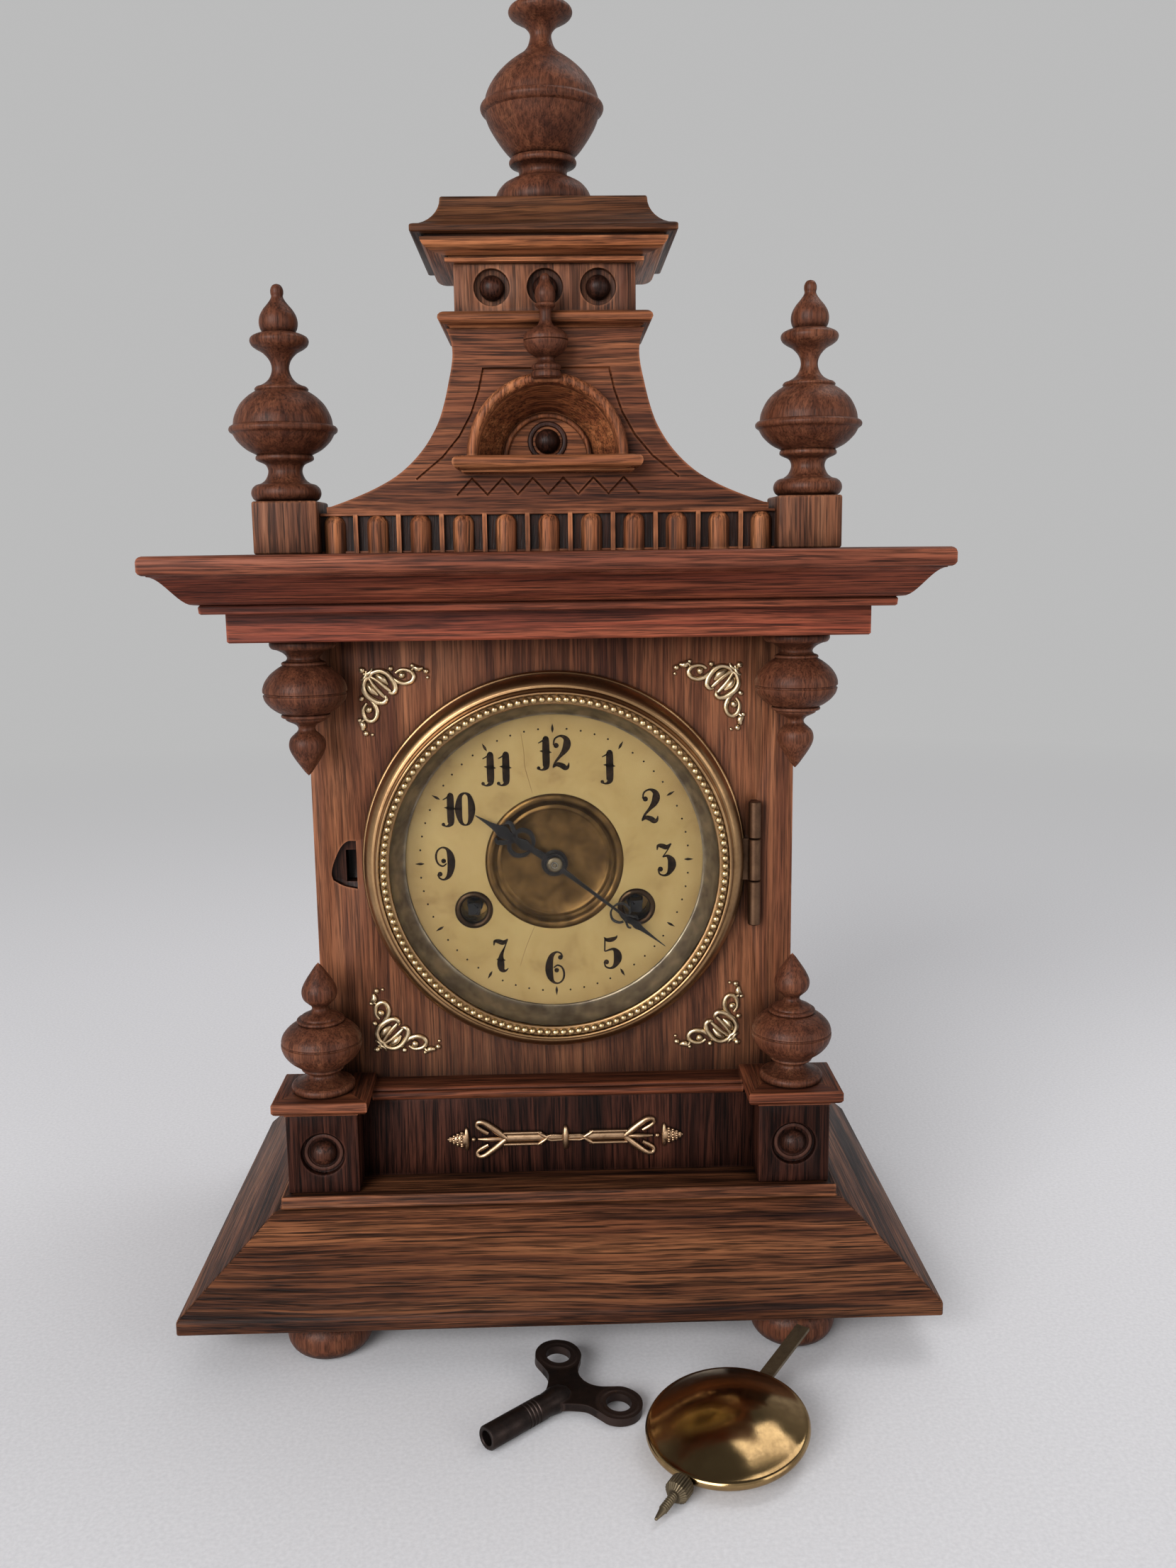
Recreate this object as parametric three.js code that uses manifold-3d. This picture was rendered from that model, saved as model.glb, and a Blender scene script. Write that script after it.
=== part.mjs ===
// Table clock: oak case with turned urns, brass bezel, striking movement, key and pendulum.
// Millimetres, +Z up, the dial faces -Y. Y = 0 is the front of the case, Z = 0 the table.
import * as THREE from 'three';
import { mergeVertices } from 'three/addons/utils/BufferGeometryUtils.js';
import Module from 'manifold-3d';

const wasm = await Module();
wasm.setup();

// Case
const CASE_HALF = 93.6;
const CASE_BACK = 108;
const BOARD = 10;
const PANEL_THICK = 12;
const DOOR_GAP = 0.3;
const FOOT_TOP = 16;
const FOOT_FRONT_Y = -44;
const FOOT_BACK_Y = 92;
const BASE_HALF = 140.8;
const FOOT_INSET = 52.8;
const FOOT_X = BASE_HALF - FOOT_INSET;
const BASE_FRONT = -63.4;
const BASE_BACK = 114;
const BASE_EDGE_TOP = 21.5;
const BASE_STEP = 48.2;
const BASE_TOP = 52.7;
const LEDGE_HALF = 107.5;
const LEDGE_FRONT = -30.1;
const FASCIA_Z = 265.65;
const FASCIA_HIGH = 10.55;
const FASCIA_HALF = 114.7;
const FASCIA_FRONT = -35.2;
const CORNICE_HIGH = 20.3;
const CORNICE_OUT = 23.5;
const CORNICE_Z = FASCIA_Z + FASCIA_HIGH;
const CORNICE_TOP = CORNICE_Z + CORNICE_HIGH;

// Pedestals and urns at the front corners
const PEDESTAL_IN = 77.3;
const PEDESTAL_OUT = 104.9;
const PEDESTAL_FRONT = -26.9;
const PEDESTAL_BACK = 0.7;
const PEDESTAL_CAP_Z = 84.3;
const PEDESTAL_TOP = 90.9;
const PEDESTAL_LIP = 4.35;
const BOSS_R = 4.9;
const BOSS_RECESS_R = 8.5;
const BOSS_RECESS = 2.5;
const URN_X = 91.5;
const URN_Y = -15.7;
const URN_SIDES = 12;
const FRIEZE_FRONT = -12.7;
const FRIEZE_TOP = 82.3;
const FRIEZE_MOULD_TOP = 88.8;

// Top works above the cornice
const BLOCK_IN = 83.1;
const BLOCK_OUT = 106.3;
const BLOCK_FRONT = -22.9;
const BLOCK_BACK = 4.6;
const BLOCK_HIGH = 18.9;
const BLOCK_TOP = CORNICE_TOP + BLOCK_HIGH;
const FINIAL_X = 96;
const FINIAL_Y = -9;
const FLUTE_FRONT = -17.5;
const FLUTE_PITCH = 15.6;
const FLUTE_HIGH = 14.5;
const FLUTE_TOP = CORNICE_TOP + FLUTE_HIGH;
const GABLE_FRONT = -16;
const GABLE_BACK = 34;
const GABLE_HIGH = 64;
const NECK_MOULD_Z = FLUTE_TOP + GABLE_HIGH;
const NECK_MOULD_HIGH = 5.4;
const NECK_MOULD_OUT = 5.8;
const NECK_Z = NECK_MOULD_Z + NECK_MOULD_HIGH;
const NECK_HIGH = 16.6;
const NECK_HALF = 32.3;
const NECK_BOSS_X = 18.9;
const CAP_Z = NECK_Z + NECK_HIGH;
const CAP_HIGH = 18.7;
const CAP_OUT = 13.8;
const CAP_TOP = CAP_Z + CAP_HIGH;
const TOP_FINIAL_Y = 9;
const NICHE_UP = 19.3;
const NICHE_Z = FLUTE_TOP + NICHE_UP;
const NICHE_R = 29;
const NICHE_BAND = 4;
const NICHE_INNER_R = 17;

// Dial, bezel and hands, set out from the dial centre. The room between the frieze moulding and
// the fascia that the bezel leaves free is split so that a little more of it lies above.
const BEZEL_R = 75;
const BEZEL_DEPTH = 15.8;
const BEZEL_WALL = 10.2;
const BEZEL_BORE_R = BEZEL_R - BEZEL_WALL;
const ROOM_BELOW_SHARE = 12.8 / 26.85;
const bezelRoom = FASCIA_Z - FRIEZE_MOULD_TOP - 2 * BEZEL_R;
const DIAL_Z = FRIEZE_MOULD_TOP + ROOM_BELOW_SHARE * bezelRoom + BEZEL_R;
const DIAL_CLEAR = 0.8;
const DIAL_R = BEZEL_BORE_R - DIAL_CLEAR;
const DIAL_THICK = 1.2;
const DIAL_HOLE_R = 24.9;
const DIAL_LAP = 6;
const PANEL_HOLE_R = DIAL_R - DIAL_LAP;
const RING_SIDES = 32;
const GLASS_CLEAR = 0.2;
const GLASS_R = BEZEL_BORE_R - GLASS_CLEAR;
const GLASS_FRONT = -12.9;
const GLASS_THICK = 1.3;
const SIGHT_WIDE = 6.6;
const SIGHT_R = BEZEL_BORE_R - SIGHT_WIDE;
const SIGHT_BACK = -1.5;
const WIND_X = 32;
const WIND_Z = -18.9;
const WIND_HOLE_R = 5.5;
const HOUR_ANGLE = 302.6;
const MINUTE_ANGLE = 128.2;
const HINGE_OUT = 3.2;
const HINGE_X = BEZEL_R + HINGE_OUT;
const HINGE_Y = -4;
const HINGE_R = 2.5;
const HINGE_PIN_R = 0.9;
const HINGE_BELOW = 26.2;
const HINGE_ABOVE = 23.1;
const HINGE_LOW = DIAL_Z - HINGE_BELOW;
const HINGE_HIGH = DIAL_Z + HINGE_ABOVE;
const KNUCKLE_HALF = 8.3;
const RUN = 0.3;

const RAD = Math.PI / 180;

const material = (color, roughness, metalness) => (
  new THREE.MeshStandardMaterial({ color, roughness, metalness })
);
const OAK = material(0x7c4c2a, 0.6, 0);
const OAK_DARK = material(0x5f3820, 0.65, 0);
const BRASS = material(0xb08d4a, 0.35, 1);
const STEEL = material(0x55504a, 0.4, 1);
const BLACK = material(0x14120f, 0.5, 0.3);
const CREAM = material(0xe9dfc6, 0.4, 0);
const GLASS = material(0xdfe8ea, 0.05, 0);

// One merged, outward-facing copy of a geometry.
function closed(geometry) {
  const bare = geometry.clone();
  bare.deleteAttribute('normal');
  bare.deleteAttribute('uv');
  const merged = mergeVertices(bare, 1e-4);
  const spots = merged.attributes.position;
  const source = merged.index.array;
  const kept = [];
  let volume = 0;
  const a = new THREE.Vector3();
  const b = new THREE.Vector3();
  const c = new THREE.Vector3();
  for (let i = 0; i < source.length; i += 3) {
    const [p, q, r] = [source[i], source[i + 1], source[i + 2]];
    if (p !== q && q !== r && r !== p) {
      kept.push(p, q, r);
      a.fromBufferAttribute(spots, p);
      b.fromBufferAttribute(spots, q);
      c.fromBufferAttribute(spots, r);
      volume += a.dot(b.cross(c));
    }
  }
  if (volume < 0) {
    kept.reverse();
  }
  const out = new THREE.BufferGeometry();
  out.setAttribute('position', new THREE.BufferAttribute(new Float32Array(spots.array), 3));
  out.setIndex(new THREE.BufferAttribute(new Uint32Array(kept), 1));
  return out;
}

function toSolid(geometry) {
  const shape = closed(geometry);
  return new wasm.Manifold(new wasm.Mesh({
    numProp: 3,
    vertProperties: shape.attributes.position.array,
    triVerts: shape.index.array,
  }));
}

function fromSolid(body) {
  const mesh = body.getMesh();
  const out = new THREE.BufferGeometry();
  out.setAttribute('position', new THREE.BufferAttribute(new Float32Array(mesh.vertProperties), 3));
  out.setIndex(new THREE.BufferAttribute(new Uint32Array(mesh.triVerts), 1));
  return out;
}

function join(...shapes) {
  return fromSolid(shapes.map(toSolid).reduce((sum, next) => sum.add(next)));
}

function cut(shape, ...tools) {
  return fromSolid(tools.map(toSolid).reduce((left, next) => left.subtract(next), toSolid(shape)));
}

function box(x0, x1, y0, y1, z0, z1) {
  const shape = new THREE.BoxGeometry(x1 - x0, y1 - y0, z1 - z0);
  return shape.translate((x0 + x1) / 2, (y0 + y1) / 2, (z0 + z1) / 2);
}

// Turned about a vertical axis from [radius, height] points.
function turned(profile, sides, x = 0, y = 0, z = 0) {
  const points = profile.map(([r, h]) => new THREE.Vector2(r, h));
  return new THREE.LatheGeometry(points, sides).rotateX(Math.PI / 2).translate(x, y, z);
}

// Turned about the dial axis, or one beside it, from [radius, depth] points.
function faced(profile, sides, x = 0, z = 0) {
  const points = profile.map(([r, y]) => new THREE.Vector2(r, y));
  return new THREE.LatheGeometry(points, sides).translate(x, 0, DIAL_Z + z);
}

function rod(radius, y0, y1, sides, x = 0, z = 0) {
  return faced([[0, y0], [radius, y0], [radius, y1], [0, y1]], sides, x, z);
}

function tube(outer, inner, y0, y1, sides, x = 0, z = 0) {
  const ring = [[inner, y0], [outer, y0], [outer, y1], [inner, y1], [inner, y0]];
  return faced(ring, sides, x, z);
}

// A flat outline in X and Z, carried from y0 back to y1.
function slab(outline, y0, y1, holes = []) {
  const shape = new THREE.Shape(outline.map(([x, z]) => new THREE.Vector2(x, z)));
  for (const hole of holes) {
    shape.holes.push(new THREE.Path(hole.map(([x, z]) => new THREE.Vector2(x, z))));
  }
  const body = new THREE.ExtrudeGeometry(shape, { depth: y1 - y0, bevelEnabled: false });
  return body.rotateX(Math.PI / 2).translate(0, y1, 0);
}

function circle(radius, sides, x = 0, z = 0, turn = 0) {
  const points = [];
  for (let i = 0; i < sides; i += 1) {
    const angle = turn + (i / sides) * 2 * Math.PI;
    points.push([x + radius * Math.cos(angle), z + radius * Math.sin(angle)]);
  }
  return points;
}

function arc(radius, from, to, steps, x = 0, z = 0) {
  const points = [];
  for (let i = 0; i <= steps; i += 1) {
    const angle = (from + ((to - from) * i) / steps) * RAD;
    points.push([x + radius * Math.cos(angle), z + radius * Math.sin(angle)]);
  }
  return points;
}

// Rectangles stacked and mitred at the corners: [height, half width, front, back].
function mitred(levels, x = 0) {
  const spots = [];
  for (const [z, half, front, back] of levels) {
    spots.push(x - half, front, z, x + half, front, z, x + half, back, z, x - half, back, z);
  }
  const faces = [0, 2, 1, 0, 3, 2];
  for (let i = 0; i < levels.length - 1; i += 1) {
    for (let k = 0; k < 4; k += 1) {
      const low = i * 4 + k;
      const next = i * 4 + ((k + 1) % 4);
      faces.push(low, next, next + 4, low, next + 4, low + 4);
    }
  }
  const top = (levels.length - 1) * 4;
  faces.push(top, top + 1, top + 2, top, top + 2, top + 3);
  const out = new THREE.BufferGeometry();
  out.setAttribute('position', new THREE.BufferAttribute(new Float32Array(spots), 3));
  out.setIndex(faces);
  return out;
}

const clock = new THREE.Group();
clock.name = 'table_clock';

function node(name, geometry, finish) {
  const shape = closed(geometry);
  shape.computeVertexNormals();
  const mesh = new THREE.Mesh(shape, finish);
  mesh.name = name;
  clock.add(mesh);
  return mesh;
}

function mirrored(geometry) {
  return geometry.clone().scale(-1, 1, 1);
}

// A flat outline in X and Y, carried up from z0 to z1.
function column(outline, z0, z1) {
  const shape = new THREE.Shape(outline.map(([x, y]) => new THREE.Vector2(x, y)));
  const body = new THREE.ExtrudeGeometry(shape, { depth: z1 - z0, bevelEnabled: false });
  return body.translate(0, 0, z0);
}

function ball(radius, x, y, z) {
  return new THREE.SphereGeometry(radius, 8, 6).rotateX(Math.PI / 2).translate(x, y, z);
}

// Base and feet
const FOOT_PROFILE = [
  [0, 0], [9.5, 0], [13.6, 2], [16, 6], [16, 10], [13.4, 14.2], [11.4, FOOT_TOP], [0, FOOT_TOP],
];
const footSpots = {
  front_left: [-FOOT_X, FOOT_FRONT_Y],
  front_right: [FOOT_X, FOOT_FRONT_Y],
  back_left: [-FOOT_X, FOOT_BACK_Y],
  back_right: [FOOT_X, FOOT_BACK_Y],
};
for (const [place, [x, y]] of Object.entries(footSpots)) {
  node(`foot_${place}`, turned(FOOT_PROFILE, 12, x, y), OAK_DARK);
}
node('base_plinth', mitred([
  [FOOT_TOP, BASE_HALF, BASE_FRONT, BASE_BACK],
  [BASE_EDGE_TOP, BASE_HALF, BASE_FRONT, BASE_BACK],
  [BASE_STEP, LEDGE_HALF + 2, LEDGE_FRONT - 2, BASE_BACK],
  [BASE_STEP, LEDGE_HALF, LEDGE_FRONT, BASE_BACK],
  [BASE_TOP, LEDGE_HALF, LEDGE_FRONT, BASE_BACK],
]), OAK);

// Case boards; the front panel holds the hinge plates and a thumb notch
const NOTCH_X = -82.25;
const NOTCH = [
  [-4.25, -8.6], [4.25, -8.6], [4.25, 1.4], [3.05, 5.4], [0, 7.8], [-3.05, 5.4], [-4.25, 1.4],
].map(([x, z]) => [NOTCH_X + x, DIAL_Z + z]);
const PLATE_HALF = 1.2;
const PLATE_DEPTH = 6;
const hingePlates = [
  box(HINGE_X - PLATE_HALF, HINGE_X + PLATE_HALF, HINGE_Y, PLATE_DEPTH,
    HINGE_LOW, DIAL_Z - KNUCKLE_HALF - RUN),
  box(HINGE_X - PLATE_HALF, HINGE_X + PLATE_HALF, HINGE_Y, PLATE_DEPTH,
    DIAL_Z + KNUCKLE_HALF + RUN, HINGE_HIGH),
];
const panelOutline = [
  [-CASE_HALF, BASE_TOP], [CASE_HALF, BASE_TOP], [CASE_HALF, FASCIA_Z], [-CASE_HALF, FASCIA_Z],
];
node('front_panel', cut(
  slab(panelOutline, 0, PANEL_THICK, [circle(PANEL_HOLE_R, 36, 0, DIAL_Z)]),
  slab(NOTCH, -1, 5),
  ...hingePlates,
), OAK);
const sideBoard = box(CASE_HALF - BOARD, CASE_HALF, PANEL_THICK, CASE_BACK, BASE_TOP, FASCIA_Z);
node('side_panel_right', sideBoard, OAK);
node('side_panel_left', mirrored(sideBoard), OAK);

// Frieze panel with a two-step moulding, between the pedestals
const MOULD_HALF = PEDESTAL_IN - PEDESTAL_LIP;
node('frieze_panel', join(
  box(-PEDESTAL_IN, PEDESTAL_IN, FRIEZE_FRONT, 0, BASE_TOP, FRIEZE_TOP),
  box(-MOULD_HALF, MOULD_HALF, FRIEZE_FRONT - 2.3, 0, FRIEZE_TOP - 1, FRIEZE_TOP + 3.2),
  box(-MOULD_HALF, MOULD_HALF, FRIEZE_FRONT - 4.8, 0, FRIEZE_TOP + 3, FRIEZE_MOULD_TOP),
), OAK);

// Pedestals, notched round the front corners of the case
const pedestalX = (PEDESTAL_IN + PEDESTAL_OUT) / 2;
const pedestalHalf = (PEDESTAL_OUT - PEDESTAL_IN) / 2;
const pedestalBossZ = (BASE_TOP + PEDESTAL_CAP_Z) / 2;
const pedestalLevel = (z, out) => (
  [z, pedestalHalf + out, PEDESTAL_FRONT - out, PEDESTAL_BACK + out]
);
const pedestalBlock = mitred([
  pedestalLevel(BASE_TOP, 0),
  pedestalLevel(PEDESTAL_CAP_Z, 0),
  pedestalLevel(PEDESTAL_CAP_Z + 1, 2.4),
  pedestalLevel(PEDESTAL_CAP_Z + 2.8, PEDESTAL_LIP),
  pedestalLevel(PEDESTAL_TOP, PEDESTAL_LIP),
], pedestalX);
const recessFloor = PEDESTAL_FRONT + BOSS_RECESS;
const pedestal = join(
  cut(
    pedestalBlock,
    box(0, CASE_HALF, 0, CASE_BACK, 0, FASCIA_Z),
    rod(BOSS_RECESS_R, PEDESTAL_FRONT - 1, recessFloor, 16, pedestalX, pedestalBossZ - DIAL_Z),
  ),
  ball(BOSS_R, pedestalX, recessFloor, pedestalBossZ),
);
node('pedestal_right', pedestal, OAK);
node('pedestal_left', mirrored(pedestal), OAK);

// Four alike turned urns, two standing on the pedestals and two hanging from the fascia
const URN_PROFILE = [
  [0, 0], [12.5, 0], [12.5, 3.2], [10.4, 4.8], [9.6, 7.4], [13.4, 10], [15.4, 14.4], [15.4, 20.8],
  [13.6, 25.6], [9.2, 29.4], [5.4, 31.8], [3.9, 34.6], [5.6, 36.8], [6.6, 39.4], [5.7, 43.4],
  [3.1, 47.8], [0, 51],
];
const standing = turned(URN_PROFILE, URN_SIDES, URN_X, URN_Y, PEDESTAL_TOP);
const hanging = turned(URN_PROFILE, URN_SIDES).rotateX(Math.PI).translate(URN_X, URN_Y, FASCIA_Z);
node('urn_lower_right', standing, OAK_DARK);
node('urn_lower_left', mirrored(standing), OAK_DARK);
node('urn_upper_right', hanging, OAK_DARK);
node('urn_upper_left', mirrored(hanging), OAK_DARK);

// Case top: fascia board and cornice moulding glued up as one
const CORNICE_PROFILE = [
  [CORNICE_Z, 7.6], [CORNICE_Z + 2.8, 7.6], [CORNICE_Z + 3.6, 9], [CORNICE_Z + 7.3, 10.5],
  [CORNICE_Z + 11.3, 14.5], [CORNICE_Z + 13.8, 20], [CORNICE_Z + 15, CORNICE_OUT],
  [CORNICE_TOP, CORNICE_OUT],
];
const cornice = mitred(CORNICE_PROFILE.map(([z, out]) => (
  [z, FASCIA_HALF + out, FASCIA_FRONT - out, CASE_BACK]
)));
node('cornice', join(
  box(-FASCIA_HALF, FASCIA_HALF, FASCIA_FRONT, CASE_BACK, FASCIA_Z, CORNICE_Z + 1), cornice,
), OAK);

// Finial blocks and side finials
const finialBlock = box(BLOCK_IN, BLOCK_OUT, BLOCK_FRONT, BLOCK_BACK, CORNICE_TOP, BLOCK_TOP);
node('finial_block_right', finialBlock, OAK);
node('finial_block_left', mirrored(finialBlock), OAK);
const SIDE_FINIAL = [
  [0, 0], [11, 0], [12.5, 2], [12.5, 5.5], [9.6, 8.6], [6.4, 10.2], [6, 12.4], [9.4, 16.4],
  [16.2, 21.6], [19, 24.6], [19, 26.8], [16.8, 31.5], [11.8, 37.6], [7, 40.6], [3.6, 43.2],
  [2.9, 47.3], [5, 51.8], [9.6, 55.2], [10.4, 56.8], [9.6, 58.4], [6.2, 60.2], [6.7, 63.4],
  [5, 68.5], [2.6, 73], [0, 76.6],
];
const sideFinial = turned(SIDE_FINIAL, URN_SIDES, FINIAL_X, FINIAL_Y, BLOCK_TOP);
node('side_finial_right', sideFinial, OAK_DARK);
node('side_finial_left', mirrored(sideFinial), OAK_DARK);

// Fluted frieze: a rounded reed, a groove, a thin fillet and a groove in each pitch
const FLUTE_DEEP = 3;
const REED_HALF = FLUTE_PITCH * 0.17;
const REED_FLAT = FLUTE_PITCH * 0.09;
const REED_ROUND = FLUTE_DEEP * 0.4;
const FILLET_HALF = FLUTE_PITCH * 0.064;
const fluteFloor = FLUTE_FRONT + FLUTE_DEEP;
const reedsPerSide = Math.floor((BLOCK_IN - REED_HALF - RUN) / FLUTE_PITCH);
const reedEdge = [
  [-REED_HALF, fluteFloor], [-REED_HALF, FLUTE_FRONT + REED_ROUND], [-REED_FLAT, FLUTE_FRONT],
  [REED_FLAT, FLUTE_FRONT], [REED_HALF, FLUTE_FRONT + REED_ROUND], [REED_HALF, fluteFloor],
];
const filletEdge = [
  [-FILLET_HALF, fluteFloor], [-FILLET_HALF, FLUTE_FRONT],
  [FILLET_HALF, FLUTE_FRONT], [FILLET_HALF, fluteFloor],
];
const movedX = (points, x) => points.map(([px, py]) => [px + x, py]);
const fluteEdge = [];
for (let i = -reedsPerSide; i <= reedsPerSide; i += 1) {
  fluteEdge.push(...movedX(reedEdge, i * FLUTE_PITCH));
  if (i < reedsPerSide) {
    fluteEdge.push(...movedX(filletEdge, (i + 0.5) * FLUTE_PITCH));
  }
}
node('fluted_frieze', column([
  [-BLOCK_IN, fluteFloor], ...fluteEdge,
  [BLOCK_IN, fluteFloor], [BLOCK_IN, GABLE_BACK], [-BLOCK_IN, GABLE_BACK],
], CORNICE_TOP, FLUTE_TOP), OAK);

// Gable with a splayed niche, its arch, shelf, boss and urn
const GABLE_SIDE = [
  [80.5, 0], [80.5, 2.2], [78.8, 2.4], [70.9, 5.2], [55.1, 12.8], [44.5, 22.8], [38.8, 32.5],
  [35, 45.9], [33.4, 55.7], [35.4, GABLE_HIGH],
].map(([x, up]) => [x, FLUTE_TOP + up]);
const NICHE_DEEP = 14;
const nicheFloor = GABLE_FRONT + NICHE_DEEP;
const nicheZ = NICHE_Z - DIAL_Z;
const nicheFrontR = NICHE_R - NICHE_BAND;
const nicheProfile = [
  [0, GABLE_FRONT], [nicheFrontR, GABLE_FRONT], [NICHE_INNER_R, nicheFloor], [0, nicheFloor],
];
const nicheTool = cut(
  faced(nicheProfile, 32, 0, nicheZ),
  box(-NICHE_R, NICHE_R, GABLE_FRONT - 1, nicheFloor + 1, NICHE_Z - NICHE_R, NICHE_Z),
);
const gableOutline = [...GABLE_SIDE, ...GABLE_SIDE.map(([x, z]) => [-x, z]).reverse()];
const ARCH_FRONT = -24;
const PAD_FRONT = -30;
const SHELF_HALF = 34;
const SHELF_LIP = 3.3;
const GABLE_URN_Y = -24.5;
const ARCH_TOP = NICHE_Z + NICHE_R;
const archOutline = [
  ...arc(NICHE_R, 0, 180, 18, 0, NICHE_Z), ...arc(nicheFrontR, 180, 0, 18, 0, NICHE_Z),
];
const archBack = GABLE_FRONT + 0.5;
node('gable', join(
  cut(slab(gableOutline, GABLE_FRONT, GABLE_BACK), nicheTool),
  slab(archOutline, ARCH_FRONT, archBack),
  box(-5.4, 5.4, PAD_FRONT, archBack, ARCH_TOP - 3, ARCH_TOP),
  mitred([
    [NICHE_Z - 6.8, SHELF_HALF - SHELF_LIP, ARCH_FRONT, archBack],
    [NICHE_Z - 3.7, SHELF_HALF - SHELF_LIP, ARCH_FRONT, archBack],
    [NICHE_Z - 2.9, SHELF_HALF, ARCH_FRONT - SHELF_LIP, archBack],
    [NICHE_Z + 0.2, SHELF_HALF, ARCH_FRONT - SHELF_LIP, archBack],
  ]),
  ball(4.5, 0, nicheFloor - 2.5, NICHE_Z + 6.3),
), OAK);
const GABLE_URN = [
  [0, 0], [5, 0], [5, 1.8], [3.2, 3], [3, 4.2], [6.2, 6.2], [7.9, 9.2], [7.9, 11], [6.2, 13.4],
  [3, 15], [2, 17], [2, 21], [3.6, 23.4], [3.8, 25], [2.6, 28.6], [0, 32.8],
];
node('gable_urn', turned(GABLE_URN, 10, 0, GABLE_URN_Y, ARCH_TOP), OAK_DARK);

// Neck moulding, neck block with three bosses, cap and top finial
const aroundNeck = (z, out) => [z, NECK_HALF + out, GABLE_FRONT - out, GABLE_BACK + out];
const NECK_BOSS_Z = (NECK_Z + CAP_Z) / 2 + 0.3;
const NECK_RECESS = 2.5;
const neckFloor = GABLE_FRONT + NECK_RECESS;
const neckSpots = [-NECK_BOSS_X, 0, NECK_BOSS_X];
const neckMoulding = mitred([
  aroundNeck(NECK_MOULD_Z, NECK_MOULD_OUT - 2.6),
  aroundNeck(NECK_MOULD_Z + 1.4, NECK_MOULD_OUT - 1),
  aroundNeck(NECK_MOULD_Z + 2, NECK_MOULD_OUT),
  aroundNeck(NECK_Z - 1.4, NECK_MOULD_OUT),
  aroundNeck(NECK_Z, NECK_MOULD_OUT - 2.6),
]);
node('neck_block', join(
  cut(
    box(-NECK_HALF, NECK_HALF, GABLE_FRONT, GABLE_BACK, NECK_Z - 1, CAP_Z),
    ...neckSpots.map((x) => rod(6.35, GABLE_FRONT - 1, neckFloor, 12, x, NECK_BOSS_Z - DIAL_Z)),
  ),
  ...neckSpots.map((x) => ball(3.5, x, neckFloor, NECK_BOSS_Z)),
  neckMoulding,
), OAK);
node('cap', mitred([
  aroundNeck(CAP_Z, 2.2), aroundNeck(CAP_Z + 2.3, 2.2), aroundNeck(CAP_Z + 2.8, 4.2),
  aroundNeck(CAP_Z + 6.2, CAP_OUT - 3.7), aroundNeck(CAP_Z + 7.7, CAP_OUT - 2.9),
  aroundNeck(CAP_Z + 7.7, CAP_OUT), aroundNeck(CAP_Z + 13.2, CAP_OUT),
  aroundNeck(CAP_Z + 13.8, CAP_OUT - 4.1), aroundNeck(CAP_Z + 16, CAP_OUT - 8.7),
  aroundNeck(CAP_TOP, CAP_OUT - 10.1),
]), OAK);
const TOP_FINIAL = [
  [0, 0], [17, 0], [17.6, 3], [17.2, 8], [15.4, 13], [11.5, 17.8], [8.2, 19.6], [7.5, 21.5], [12, 25.6],
  [19.5, 34], [22.2, 38.6], [22.2, 41], [19.6, 47], [13.5, 54.2], [8.6, 57.6], [5, 60.2], [3.9, 64],
  [6.2, 67.6], [10.8, 70.2], [11.5, 72], [10.6, 74], [7, 76], [7.8, 80], [5.6, 86.4], [2.8, 91.4],
  [0, 94.5],
];
node('top_finial', turned(TOP_FINIAL, 12, 0, TOP_FINIAL_Y, CAP_TOP), OAK_DARK);

// Bezel with its glass and sight ring; they swing together on the hinge at the right
const LIP = 1.6;
const bezelLipR = BEZEL_BORE_R - LIP;
const bezelRing = faced([
  [BEZEL_BORE_R, 0], [BEZEL_R - 1, 0], [BEZEL_R, -1.2], [BEZEL_R, -2.8], [BEZEL_R - 1, -4],
  [BEZEL_R - 2.8, -4.6], [BEZEL_R - 4.4, -7], [BEZEL_R - 5.6, -10.5], [BEZEL_R - 6.8, -13.6],
  [BEZEL_BORE_R + 2, -15.2], [BEZEL_BORE_R + 0.6, -BEZEL_DEPTH], [BEZEL_BORE_R - LIP / 2, -15],
  [bezelLipR, -13.8], [bezelLipR, GLASS_FRONT], [BEZEL_BORE_R, GLASS_FRONT], [BEZEL_BORE_R, 0],
], RING_SIDES);
const tongue = box(BEZEL_R - 4.5, HINGE_X - 1.8, -3.2, -1.9, DIAL_Z - KNUCKLE_HALF, DIAL_Z + KNUCKLE_HALF);
const glassBack = GLASS_FRONT + GLASS_THICK;
node('bezel_glass', rod(GLASS_R, GLASS_FRONT, glassBack, RING_SIDES), GLASS);
const sightOuter = BEZEL_BORE_R - 0.1;
const sightLip = BEZEL_BORE_R - 1.4;
node('sight_ring', faced([
  [sightLip, glassBack], [sightOuter, glassBack], [sightOuter, SIGHT_BACK], [SIGHT_R, SIGHT_BACK],
  [SIGHT_R, SIGHT_BACK - 0.8], [sightLip, glassBack],
], RING_SIDES), STEEL);
const upright = (outer, inner, z0, z1) => (
  [[inner, z0], [outer, z0], [outer, z1], [inner, z1], [inner, z0]]
);
const knuckleLow = DIAL_Z - KNUCKLE_HALF;
const knuckleHigh = DIAL_Z + KNUCKLE_HALF;
const knuckleTube = upright(HINGE_R, HINGE_PIN_R + 0.2, knuckleLow, knuckleHigh);
const middleKnuckle = turned(knuckleTube, 16, HINGE_X, HINGE_Y);
node('bezel', join(bezelRing, tongue, middleKnuckle), BRASS);
const post = (radius, z0, z1, x, y) => turned([[0, z0], [radius, z0], [radius, z1], [0, z1]], 16, x, y);
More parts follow.
